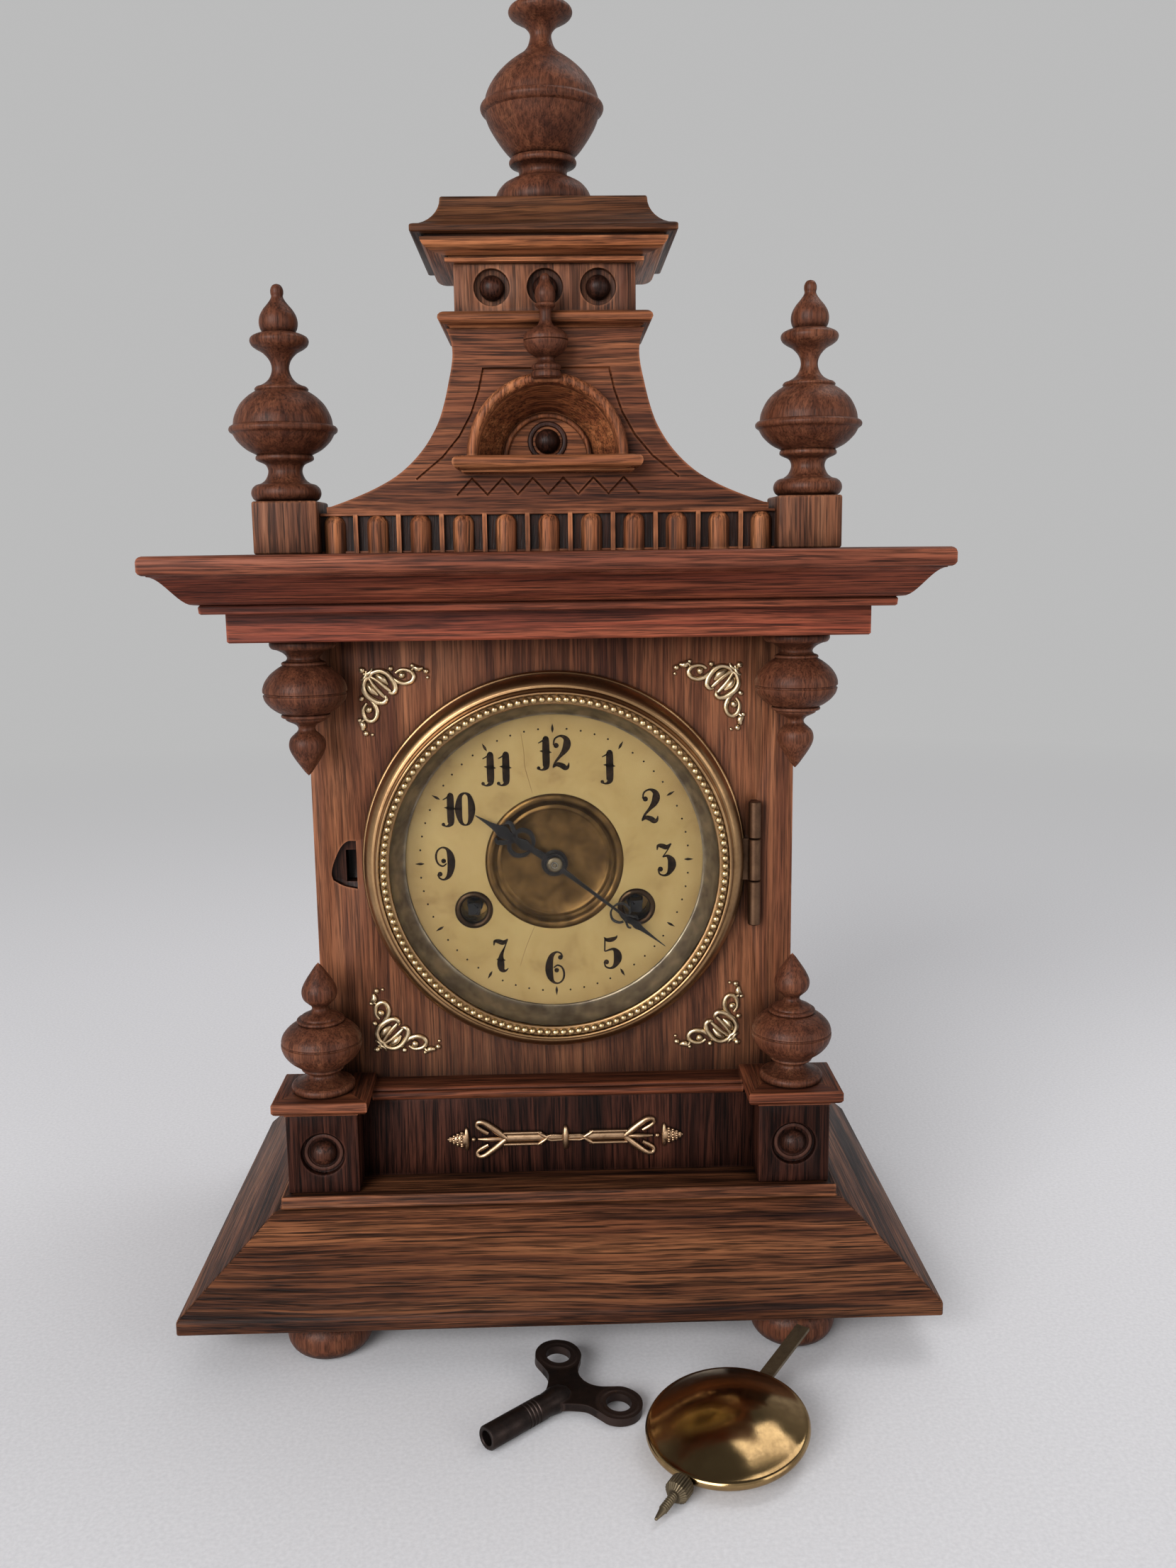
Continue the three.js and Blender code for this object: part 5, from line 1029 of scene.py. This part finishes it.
TOP_WAVE = [(-0.23, 0.8, 0.01), (-0.2, 0.93, 0.035), (-0.08, 0.93, 0.055), (0.06, 0.89, 0.055),
            (0.2, 1, 0.012)]
BOWL = [(-0.06, 0.58, 0.014), (0.08, 0.61, 0.035), (0.2, 0.48, 0.085), (0.22, 0.29, 0.095),
        (0.13, 0.08, 0.05), (0, 0, 0.026), (-0.15, 0.05, 0.02), (-0.2, 0.2, 0.02)]
RIGHT_SPUR = [(0.18, 0.36, 0.06), (0.33, 0.36, 0.004)]
SIX = [(0.2, 0.84, 0.02), (0.14, 0.96, 0.02), (0, 1, 0.025), (-0.15, 0.86, 0.06), (-0.22, 0.55, 0.09),
       (-0.2, 0.25, 0.08), (-0.1, 0.05, 0.035), (0.05, 0, 0.02), (0.19, 0.1, 0.022), (0.24, 0.3, 0.025),
       (0.18, 0.5, 0.022), (0.04, 0.58, 0.02), (-0.08, 0.5, 0.016)]
# Each digit: its strokes as (x, z, half width) and its dots as (x, z, radius), one unit high
STROKES = {
    "0": ([[(0, 1, 0.02), (-0.14, 0.88, 0.05), (-0.2, 0.5, 0.085), (-0.14, 0.12, 0.05), (0, 0, 0.02),
            (0.14, 0.12, 0.05), (0.2, 0.5, 0.085), (0.14, 0.88, 0.05), (0, 1, 0.02)],
           [(-0.2, 0.5, 0.05), (-0.31, 0.5, 0.004)], [(0.2, 0.5, 0.05), (0.31, 0.5, 0.004)]], []),
    "1": ([[(0.03, 1, 0.03), (0.03, 0.9, 0.075), (0.03, 0.5, 0.085), (0.03, 0.12, 0.08), (0, 0.02, 0.05),
            (-0.1, -0.03, 0.022), (-0.19, 0, 0.02)],
           [(0.04, 0.99, 0.03), (-0.06, 0.87, 0.02), (-0.2, 0.79, 0.012)],
           [(-0.16, 0.55, 0.006), (0.03, 0.53, 0.05), (0.2, 0.5, 0.006)]], [(-0.2, 0.03, 0.055)]),
    "2": ([[(-0.21, 0.72, 0.02), (-0.17, 0.91, 0.02), (0, 1, 0.026), (0.16, 0.92, 0.06), (0.2, 0.76, 0.09),
            (0.14, 0.58, 0.075), (0, 0.4, 0.04), (-0.15, 0.22, 0.026), (-0.23, 0.06, 0.02)],
           [(-0.24, 0.03, 0.012), (-0.13, 0.13, 0.045), (0.02, 0.1, 0.062), (0.14, 0.03, 0.062),
            (0.22, 0.06, 0.035), (0.25, 0.18, 0.01)]], [(-0.13, 0.71, 0.08)]),
    "3": ([TOP_WAVE, [(0.2, 0.99, 0.014), (0.08, 0.78, 0.014), (-0.06, 0.58, 0.014)], BOWL, RIGHT_SPUR],
          [(-0.13, 0.2, 0.08)]),
    "4": ([[(0.08, 1, 0.012), (-0.1, 0.66, 0.018), (-0.26, 0.3, 0.016)],
           [(-0.28, 0.28, 0.024), (0.26, 0.28, 0.024)],
           [(0.09, 0.98, 0.05), (0.09, 0.5, 0.085), (0.09, 0.06, 0.08)],
           [(-0.06, 0.02, 0.022), (0.24, 0.02, 0.022)]], []),
    "5": ([[(-0.2, 0.99, 0.012), (-0.1, 0.91, 0.045), (0.05, 0.92, 0.055), (0.17, 0.98, 0.03),
    (0.21, 1.05, 0.008)],
           [(-0.17, 0.96, 0.018), (-0.18, 0.55, 0.018)], [(-0.18, 0.54, 0.014), *BOWL[1:]], RIGHT_SPUR],
          [(-0.13, 0.2, 0.08)]),
    "6": ([SIX, [(-0.2, 0.42, 0.06), (-0.36, 0.42, 0.004)]], [(0.13, 0.83, 0.075), (0.01, 0.42, 0.075)]),
    "7": ([TOP_WAVE, [(0.2, 0.99, 0.012), (0.1, 0.74, 0.018), (0, 0.5, 0.045), (-0.03, 0.24, 0.085),
                      (0, 0.04, 0.07), (0.1, -0.02, 0.03), (0.2, 0.06, 0.01)],
           [(-0.16, 0.36, 0.006), (-0.02, 0.34, 0.05), (0.12, 0.32, 0.006)]], []),
    "8": ([[(0, 0.54, 0.05), (-0.15, 0.68, 0.06), (-0.15, 0.88, 0.04), (0, 1, 0.02), (0.15, 0.88, 0.03),
            (0.15, 0.7, 0.03), (0, 0.54, 0.05), (-0.17, 0.36, 0.03), (-0.21, 0.2, 0.03),
            (-0.13, 0.05, 0.025), (0.02, 0, 0.02), (0.17, 0.08, 0.05), (0.21, 0.24, 0.07),
            (0.14, 0.42, 0.07), (0, 0.54, 0.05)]], []),
}
STROKES["9"] = ([[(-x, 1 - z, w) for x, z, w in stroke] for stroke in STROKES["6"][0]],
                [(-x, 1 - z, r) for x, z, r in STROKES["6"][1]])
NUMERAL_HIGH, NUMERAL_AT, DIGIT_STEP, NUMERAL_BOLD = 12.8, 43.2, 0.47, 1.32
BESIDE_EYELET = {4: (29.4, -18.4), 8: (-33, -18.6)}
EYELET_CLEAR = 6.9
PRINT_FRONT, CRACK_FRONT, PRINT_BACK = -1.27, -1.23, -1.19
MINUTE_AT, MINUTE_R = 52.6, 0.4
FIVE_MINUTE_MARK = ((50.9, 0.08), (52.4, 0.5), (54.4, 0.06))
CRACKS = ([(-12.2, 51, 0.05), (-11.2, 44, 0.08), (-10.9, 38, 0.1), (-9.4, 32, 0.09), (-8.2, 27.4, 0.05)],
          [(-8.2, -25.9, 0.05), (-10.6, -31.4, 0.07), (-12.4, -36.2, 0.07), (-14.4, -42.4, 0.04)])


def clear_runs(stroke):
    """The runs of a smoothed stroke that stay clear of both winding eyelets."""
    runs = [[]]
    for x, z, w in smooth_line(stroke, 8):
        if math.hypot(abs(x) - WIND_X, z - DIAL_Z - WIND_Z) > EYELET_CLEAR:
            runs[-1].append((x, z, w))
        elif runs[-1]:
            runs.append([])
    return [run for run in runs if len(run) > 1]


def printed(digit, x, z):
    """The strokes and dots of one digit about a middle at x and z."""
    strokes, dots = STROKES[digit]
    low = z - NUMERAL_HIGH / 2

    def sized(points, bold):
        return [(x + NUMERAL_HIGH * u, low + NUMERAL_HIGH * v, bold * NUMERAL_HIGH * w) for u, v, w in points]

    parts = [dot(*spot, PRINT_FRONT, PRINT_BACK) for spot in sized(dots, 1)]
    for stroke in strokes:
        runs = clear_runs(sized(stroke, NUMERAL_BOLD))
        parts += [ribbon(run, PRINT_FRONT, PRINT_BACK, 1) for run in runs]
    return parts


numerals = []
for hour in range(1, 13):
    digits = str(hour)
    a = TAU * hour / 12
    middle_x, middle_z = BESIDE_EYELET.get(hour, (NUMERAL_AT * math.sin(a), NUMERAL_AT * math.cos(a)))
    for k, digit in enumerate(digits):
        step = NUMERAL_HIGH * DIGIT_STEP * (k - (len(digits) - 1) / 2)
        numerals += printed(digit, middle_x + step, DIAL_Z + middle_z)
to_object("dial_numerals", merged(*numerals), INK, smooth=30)
track = []
for minute in range(60):
    a = TAU * minute / 60
    if minute % 5:
        x, z = MINUTE_AT * math.sin(a), DIAL_Z + MINUTE_AT * math.cos(a)
        track.append(dot(x, z, MINUTE_R, PRINT_FRONT, PRINT_BACK, 8))
    else:
        mark = [(r * math.sin(a), DIAL_Z + r * math.cos(a), w) for r, w in FIVE_MINUTE_MARK]
        track.append(ribbon(mark, PRINT_FRONT, PRINT_BACK, 4))
to_object("minute_track", merged(*track), INK, smooth=30)
cracks = [ribbon([(x, DIAL_Z + z, w) for x, z, w in line], CRACK_FRONT, PRINT_BACK, 5) for line in CRACKS]
to_object("dial_cracks", merged(*cracks), CRACK, smooth=30)


# Hands, as (out, across, half width) strokes along each one
def both(strokes):
    return strokes + [[(u, -v, w) for u, v, w in stroke] for stroke in strokes]


HOUR_STROKES = [
    [(3, 0, 1.5), (8, 0, 1.3), (11, 0, 1.2), (14, 0, 2.1), (16.5, 0, 1.3), (20, 0, 1.4), (23.5, 0, 2.5),
     (26.5, 0, 1.5), (30, 0, 0.8), (36, 0, 0.12)],
    *both([[(10.4, 0.4, 0.4), (11.6, 3.2, 0.75), (14.4, 5.2, 0.9), (17.6, 4.6, 0.9), (19, 2.3, 0.75),
            (17.8, 0.7, 0.5)],
           [(18.6, 0.6, 0.5), (20.6, 3, 0.9), (23.2, 4.6, 0.75), (24.6, 3.6, 0.4)]])]
MINUTE_STROKES = [
    [(3, 0, 1.1), (9, 0, 0.85), (16, 0, 0.7), (24, 0, 0.65), (29, 0, 0.5), (33, 0, 0.55), (37, 0, 0.7),
     (40.4, 0, 1.5), (43, 0, 0.9), (48, 0, 0.45), (54.6, 0, 0.08)],
    *both([[(28.6, 0.3, 0.25), (29.4, 2.4, 0.42), (31.6, 3.9, 0.5), (34.2, 3.4, 0.45), (35.4, 2, 0.4)],
           [(33.6, 0.4, 0.3), (36.2, 1.5, 0.45), (38.2, 2.6, 0.4), (39.4, 2.2, 0.25)]])]
# Each hand: its strokes, clockwise angle, hub radius, and front and back
HANDS = {"hour": (HOUR_STROKES, 302.6, 5.2, -4.15, -3.45),
         "minute": (MINUTE_STROKES, 128.2, 4.2, -6.35, -5.65)}
HAND_NUT_LINE = smooth_line([
    (0, -8.6), (0.7, -8.5), (1, -8.1), (1, -8.1), (1.1, -7.5), (1.1, -7.5), (1.7, -7.5), (2.4, -7.4),
    (2.9, -7.1), (3.1, -6.7), (3.1, -6.45), (3.1, -6.45), (0, -6.45)], 3)
for name, (strokes, angle, hub_r, front_y, back_y) in HANDS.items():
    a = math.radians(angle)
    parts = [dot(0, DIAL_Z, hub_r, front_y, back_y, 24)]
    for stroke in strokes:
        laid = [(u * math.sin(a) + v * math.cos(a), DIAL_Z + u * math.cos(a) - v * math.sin(a), w)
                for u, v, w in stroke]
        parts.append(ribbon(laid, front_y, back_y, 5))
    to_object(f"{name}_hand_pierced", merged(*parts), BLACK_HAND, f"{name}_train",
              stands_for=f"{name}_hand", smooth=30)
to_object("hand_nut_turned", faced(HAND_NUT_LINE, 40), BRASS_GREY, "minute_train", stands_for="hand_nut")

# Pierced corner mounts: scrolls and pearls as (along, up, radius) from a corner
CORNER_X, CORNER_HIGH, CORNER_LOW = 73.8, 254.1, 99.1
SCROLLS = [
    [(1.9, 3.1, 0.5), (3.3, 3, 0.7), (4.7, 2.2, 0.8), (5.2, 0.9, 0.45)],
    [(4, 4.6, 0.6), (5.2, 2.7, 0.85), (8.2, 1.8, 0.95), (10.8, 2.8, 1), (12.6, 4.8, 1), (13.8, 7, 1),
     (14.1, 9.2, 1), (13, 10.4, 0.95), (11.4, 10.2, 0.5)],
    [(4.6, 4, 0.55), (7.4, 5.7, 0.75), (10.3, 8.2, 0.75), (12.2, 10, 0.5)],
    [(6.4, 3.5, 0.35), (7.8, 4, 1), (9.5, 5.2, 1.15), (11.2, 7.2, 0.4)],
    [(13, 4.4, 0.6), (15, 6, 0.85), (17.6, 6.8, 0.9), (20.2, 6, 0.9), (21.2, 4.2, 0.85), (20.2, 2.3, 0.8),
     (18.2, 1.5, 0.75), (16, 1.6, 0.7), (14.2, 2.8, 0.5)],
    [(20.4, 1.9, 0.4), (21.4, 0.6, 0.9), (23, 1.3, 1.15), (24.8, 0.8, 0.55)],
]
PEARLS = [(12.4, 1, 1.05), (20.7, -0.1, 0.85), (25.9, 2.2, 1.1), (26.4, 4.6, 0.65), (16.7, 3.6, 1.35)]
SCROLL_Y, SCROLL_BOLD, SCROLL_DEEP = -0.25, 1.16, 1.1
PEARL_Y, PEARL_BOLD = -0.3, 1.1


def corner_mount():
    """A mount in its own corner, each scroll and pearl with its mirror image across the diagonal."""
    parts = [ball(1.35, (1.5, PEARL_Y, 1.5), 2, (1, 0.9, 1))]
    for scroll in SCROLLS:
        fine = smooth_line(scroll, 4)
        radii = [SCROLL_BOLD * r for _, _, r in fine]
        for spots in ([(a, SCROLL_Y, b) for a, b, _ in fine], [(b, SCROLL_Y, a) for a, b, _ in fine]):
            parts.append(tube(spots, radii, 8, SCROLL_DEEP))
    for a, b, r in PEARLS:
        parts += [ball(PEARL_BOLD * r, spot) for spot in ((a, PEARL_Y, b), (b, PEARL_Y, a))]
    return merged(*parts)


for hand, sign in SIDES:
    for end, z, way in (("upper", CORNER_HIGH, -1), ("lower", CORNER_LOW, 1)):
        corner = Matrix.Translation((CORNER_X * sign, 0, z)) @ Matrix.Diagonal((-sign, 1, way, 1))
        to_object(f"corner_mount_{end}_{hand}", moved(corner_mount(), corner), BRASS_MOUNT, smooth=70)

# Bar mount on the frieze panel
BAR_X, BAR_Y, BAR_Z = 2.5, -12.9, 67.3
RAIL_START, RAIL_END, RAIL_Z = 9.5, 24.5, 2.35
ARM_LINE = smooth_line([(23.6, 0.2, 0.8), (26.4, 2.6, 1.05), (29.4, 5, 1), (32.4, 7, 0.85), (34.6, 7, 0.75),
                        (35, 5.4, 0.6), (33.4, 4, 0.7), (30.6, 2.4, 0.6)], 4)
ARM_BOLD = 1.3
GRAIN_R = 0.72
GRAIN_ROWS = ((41, 2.9, 7), (42.6, 2.3, 6), (44.1, 1.6, 5), (45.5, 0.8, 4))


def bar_half():
    """The right half of the bar: rails and curled arms, a rib, a leaf and a tip covered in grains."""
    parts = []
    for k in (-1, 1):
        parts.append(tube([(RAIL_START, -0.7, RAIL_Z * k), (RAIL_END, -0.7, RAIL_Z * k)], 0.62, 8, 1.3))
        parts.append(tube([(7.4, -0.7, 0.2 * k), (9.2, -0.9, 1.4 * k), (11, -0.7, 2.6 * k)],
                          [0.7, 0.8, 0.6], 8, 1.3))
        parts.append(tube([(1, -0.7, 0.9 * k), (5.6, -0.7, 1.1 * k), (8, -0.7, 0.4 * k)], 0.48, 8, 1.2))
        parts.append(tube([(x, -0.6, z * k) for x, z, _ in ARM_LINE], [ARM_BOLD * r for _, _, r in ARM_LINE]))
    parts.append(tube([(1, -0.4, 0), (RAIL_START, -0.4, 0)], 1.2, 10, 0.5))
    parts.append(tube([(RAIL_START, -0.2, 0), (RAIL_END, -0.2, 0)], 1.7, 10, 0.5))
    parts.append(tube([(RAIL_END, -0.5, 0), (29, -0.7, 0), (34.6, -0.5, 0)], [0.6, 1.15, 0.5]))
    parts.append(ball(0.95, (36.4, -0.6, 0)))
    parts.append(ball(5, (39.2, -0.3, 0), 3, (0.24, 0.34, 1)))
    tip = [(39.4, -0.3, 0), (41.2, -0.6, 0), (44.4, -0.6, 0), (46.6, -0.4, 0)]
    parts.append(tube(tip, [3.2, 3, 1.7, 0.4], 12, 0.6))
    for x, reach, count in GRAIN_ROWS:
        for k in range(count):
            a = math.pi * (k + 0.5) / count
            parts.append(ball(GRAIN_R, (x, -0.5 - 0.62 * reach * math.sin(a), reach * math.cos(a)), 1))
    return merged(*parts)


middle_leaf = ball(5.1, (0, -0.4, 0), 3, (0.3, 0.42, 1))
bar = merged(bar_half(), moved(bar_half(), Matrix.Diagonal((-1, 1, 1, 1))), middle_leaf)
to_object("frieze_bar_mount", moved(bar, Matrix.Translation((BAR_X, BAR_Y, BAR_Z))), BRASS_BAR, smooth=60)

# Fixed hinge knuckles of the bezel, with plates let into the front board
HINGE_KNUCKLES = ((150.4, 167.95), (185.25, 199.7))
PLATE_BACK, PLATE_CLEAR = 5.9, 0.05
hinge = []
for low, high in HINGE_KNUCKLES:
    hinge += [knuckle(low, high), hinge_plate(low + PLATE_CLEAR, high - PLATE_CLEAR, PLATE_BACK)]
to_object("hinge_knuckles", merged(*hinge), BRASS_DULL, stands_for="bezel_hinge_post")


# Winding key, lying on the table; its own +Y runs from the socket to the bow
KEY = (Matrix.Translation((-26.1, -110.2, 4.5)) @ Matrix.Rotation(math.radians(-49), 4, "Z")
       @ Matrix.Rotation(math.radians(6.5), 4, "Y"))
SHAFT_R, GROOVE_R = 4.2, 3.85
GROOVE_COUNT, GROOVE_START, GROOVE_STEP = 4, 16, 1.5
BOW_HALF_THICK = 1.55
BOW_LINE = smooth_line([(0, 29.4), (3.6, 29.4), (6.4, 32.6), (10.2, 36.2), (15, 37.4), (19.6, 38.3),
                        (23, 41.4), (24.4, 46), (23, 50.6), (19.4, 53.8), (15.2, 54.4), (11, 52.8),
                        (8.4, 49.6), (6, 46.6), (3, 44.6), (0, 44)], 4)
EYE_X, EYE_Y, EYE_R = 16, 46, 4.5
RIM_R, RIM_WIDE, RIM_HIGH = 6.5, 1.9, 1.72


def laid_down(bm):
    """Turns a shape that stands along Z so that it lies along +Y."""
    return moved(bm, Matrix.Rotation(-math.pi / 2, 4, "X"))


shaft_line = [(0, 8), (2.6, 8), (2.6, 0.3), (2.9, 0), (3.8, 0), (SHAFT_R, 0.5), (SHAFT_R, 15.5)]
for k in range(GROOVE_COUNT):
    z = GROOVE_START + GROOVE_STEP * k
    shaft_line += [(SHAFT_R, z), (GROOVE_R, z + 0.3), (GROOVE_R, z + 0.5), (SHAFT_R, z + 0.8)]
shaft_line += [(SHAFT_R, 24), (4, 26), (4.3, 28.5), (4.6, 30.5), (SHAFT_R, 33.5), (2.6, 36.2), (0, 36.8)]
bow_outline = BOW_LINE + mirrored(reversed(BOW_LINE[1:-1]))
eyes = [circle(EYE_R, 36, EYE_X * sign, EYE_Y) for _, sign in SIDES]
bow = slab(bow_outline, -BOW_HALF_THICK, BOW_HALF_THICK, eyes)
rim_line = closed([(RIM_R + RIM_WIDE * u, RIM_HIGH * v) for u, v in circle(1, 16)])
rims = [lathe(rim_line, 40, (EYE_X * sign, EYE_Y, 0)) for _, sign in SIDES]
key = merged(laid_down(lathe(shaft_line, 48)), laid_down(bow), *rims)
to_object("clock_key", moved(key, KEY), STEEL_KEY, "key", stands_for="winding_key")

# Pendulum: bob, flat rod and rating nut, lying on the table with the rod along its own Y
PENDULUM = (Matrix.Translation((54.5, -112.5, 8.3)) @ Matrix.Rotation(math.radians(-36.4), 4, "Z")
            @ Matrix.Rotation(math.radians(7), 4, "X"))
BOB_LINE = smooth_line([
    (0, -8), (6, -7.7), (12, -6.7), (17.5, -5.2), (22.5, -3.3), (25.8, -1.9), (25.8, -1.9), (26.9, -1.5),
    (27.5, -0.5), (27.5, 0.5), (26.9, 1.5), (25.8, 1.9), (25.8, 1.9), (22.5, 3.3), (17.5, 5.2), (12, 6.7),
    (6, 7.7), (0, 8)], 4)
ROD_HALF, ROD_HALF_THICK, ROD_LOW, ROD_HIGH = 2.5, 0.6, -20, 57
THREAD_R, THREAD_ROOT_R, THREAD_COUNT, THREAD_PITCH = 1.5, 1.2, 14, 0.9
NUT_R, KNURL_POINTS = 3.85, 72
NUT_LEVELS = ((-35, 0.62), (-34.2, 0.8), (-33.4, 1), (-29.4, 1), (-28.4, 0.86))
to_object("bob_lens", moved(lathe(BOB_LINE, 128), PENDULUM), BRASS_BOB, "bob", stands_for="pendulum_bob")
thread = [(0, -46), (0.5, -45.6), (THREAD_ROOT_R, -41.6)]
for k in range(THREAD_COUNT):
    z = -41.2 + THREAD_PITCH * k
    thread += [(THREAD_R, z), (THREAD_ROOT_R, z + THREAD_PITCH / 2)]
thread += [(THREAD_R, -28), (THREAD_R, -19), (0, -19)]
rod = merged(box(-ROD_HALF, ROD_HALF, ROD_LOW, ROD_HIGH, -ROD_HALF_THICK, ROD_HALF_THICK),
             laid_down(lathe(thread, 20)))
to_object("flat_rod", moved(rod, PENDULUM), BRASS_GREY, "pendulum", stands_for="pendulum_rod")
knurl = [NUT_R + (0.15 if k % 3 else -0.2) for k in range(KNURL_POINTS)]
nut = skin([[(r * share * u, y, r * share * v) for r, (u, v) in zip(knurl, circle(1, KNURL_POINTS))]
            for y, share in NUT_LEVELS])
to_object("knurled_nut", moved(nut, PENDULUM), BRASS_GREY, "rating_nut", stands_for="rating_nut", smooth=30)

# Movement, arbors and hinge pins keep their CAD shapes
KEPT = {
    BRASS_WORK: ("movement_front_plate", "movement_back_plate", "time_barrel", "strike_barrel", "third_wheel",
                 "minute_wheel", "hour_wheel", "escape_wheel", "strike_pin_wheel", "suspension_cock"),
    STEEL_WORK: ("centre_arbor", "anchor", "strike_hammer", "time_mainspring", "strike_mainspring"),
    BLACK_EYE: ("time_winding_arbor", "strike_winding_arbor"),
    STEEL_GONG: ("gong", "gong_stand"),
    BRASS_DULL: ("door_hinge_post",),
}
for finish, names in KEPT.items():
    for name in names:
        for holder in nodes[name].material_slots:
            holder.material = finish


def seen_rays(tree):
    """1 for rays from the camera, also by reflection or through glass, and 0 for the light that falls."""
    path = tree.nodes.new("ShaderNodeLightPath")
    seen = path.outputs["Is Camera Ray"]
    for kind in ("Is Glossy Ray", "Is Transmission Ray"):
        either = tree.nodes.new("ShaderNodeMath")
        either.operation = "MAXIMUM"
        tree.links.new(seen, either.inputs[0])
        tree.links.new(path.outputs[kind], either.inputs[1])
        seen = either.outputs[0]
    return seen


# Floor, in metres: far from the object it takes the colour of the surroundings, for seen rays alone
FLOOR_HALF = 6.0
FADE_START, FADE_END = 0.55, 1.7
PALE = 0.5
corners = [(-FLOOR_HALF, -FLOOR_HALF, 0), (FLOOR_HALF, -FLOOR_HALF, 0), (FLOOR_HALF, FLOOR_HALF, 0),
           (-FLOOR_HALF, FLOOR_HALF, 0)]
floor_mesh = bpy.data.meshes.new("floor")
floor_mesh.from_pydata(corners, [], [(0, 1, 2, 3)])
floor = bpy.data.objects.new("floor", floor_mesh)
bpy.context.collection.objects.link(floor)
cloth = Finish("floor_cloth", "enamel")
weave = cloth.noise(700, 3)
colour = cloth.ramp(weave, (0.3, shade(208, 207, 210)), (0.7, shade(220, 219, 222)))
floor_mesh.materials.append(cloth.done(Base_Color=colour, Roughness=0.9, Normal=cloth.bump(weave, 0.1, 0.3)))
reach = cloth.add("ShaderNodeVectorMath", operation="LENGTH")
cloth.link(cloth.spot, reach.inputs[0])
far = cloth.grey(reach.outputs["Value"], FADE_START, FADE_END)
glow = cloth.add("ShaderNodeEmission")
glow.inputs["Color"].default_value = (PALE, PALE, PALE, 1)
both_floors = cloth.add("ShaderNodeMixShader")
cloth.link(cloth.math("MULTIPLY", far, seen_rays(cloth.tree)), both_floors.inputs[0])
cloth.link(cloth.surface.outputs[0], both_floors.inputs[1])
cloth.link(glow.outputs[0], both_floors.inputs[2])
cloth.link(both_floors.outputs[0], cloth.tree.nodes["Material Output"].inputs["Surface"])
floor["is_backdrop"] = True


# Lamps, in metres and watts
def area_light(name, at, aim, size, power):
    lamp = bpy.data.lights.new(name, "AREA")
    lamp.shape = "RECTANGLE"
    lamp.size, lamp.size_y = size
    lamp.energy = power
    holder = bpy.data.objects.new(name, lamp)
    holder.location = at
    holder.rotation_euler = (Vector(aim) - Vector(at)).to_track_quat("-Z", "Y").to_euler()
    bpy.context.collection.objects.link(holder)


area_light("key_light", (-1.5, -2.5, 1.15), (0, 0, 0.27), (1.9, 1.9), 116)
area_light("fill_light", (2.4, -2.0, 1.0), (0, 0, 0.25), (1.8, 1.8), 22)
area_light("top_light", (0.45, 0.25, 1.25), (0.05, 0, 0.2), (0.45, 0.8), 3)

# Surroundings: seen, they are pale and darken overhead; as light, they are stronger from behind
OVERHEAD = 0.1
AMBIENT, AMBIENT_BEHIND = 0.34, 0.8
world = bpy.data.worlds.new("studio")
world.use_nodes = True
bpy.context.scene.world = world
sky = world.node_tree


def sky_grey(source, start, start_grey, end, end_grey):
    """A grey that goes from one level to another as the source rises."""
    fade = sky.nodes.new("ShaderNodeValToRGB")
    for element, at, grey in zip(fade.color_ramp.elements, (start, end), (start_grey, end_grey)):
        element.position = at
        element.color = (grey, grey, grey, 1)
    sky.links.new(source, fade.inputs["Fac"])
    return fade.outputs["Color"]


direction = sky.nodes.new("ShaderNodeSeparateXYZ")
sky.links.new(sky.nodes.new("ShaderNodeTexCoord").outputs["Generated"], direction.inputs[0])
room = sky.nodes.new("ShaderNodeMix")
room.data_type = "RGBA"
sky.links.new(seen_rays(sky), room.inputs[0])
sky.links.new(sky_grey(direction.outputs["Y"], 0.1, AMBIENT, 0.8, AMBIENT_BEHIND), room.inputs[6])
sky.links.new(sky_grey(direction.outputs["Z"], 0.45, PALE, 0.75, OVERHEAD), room.inputs[7])
sky.links.new(room.outputs[2], sky.nodes["Background"].inputs["Color"])

low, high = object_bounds()
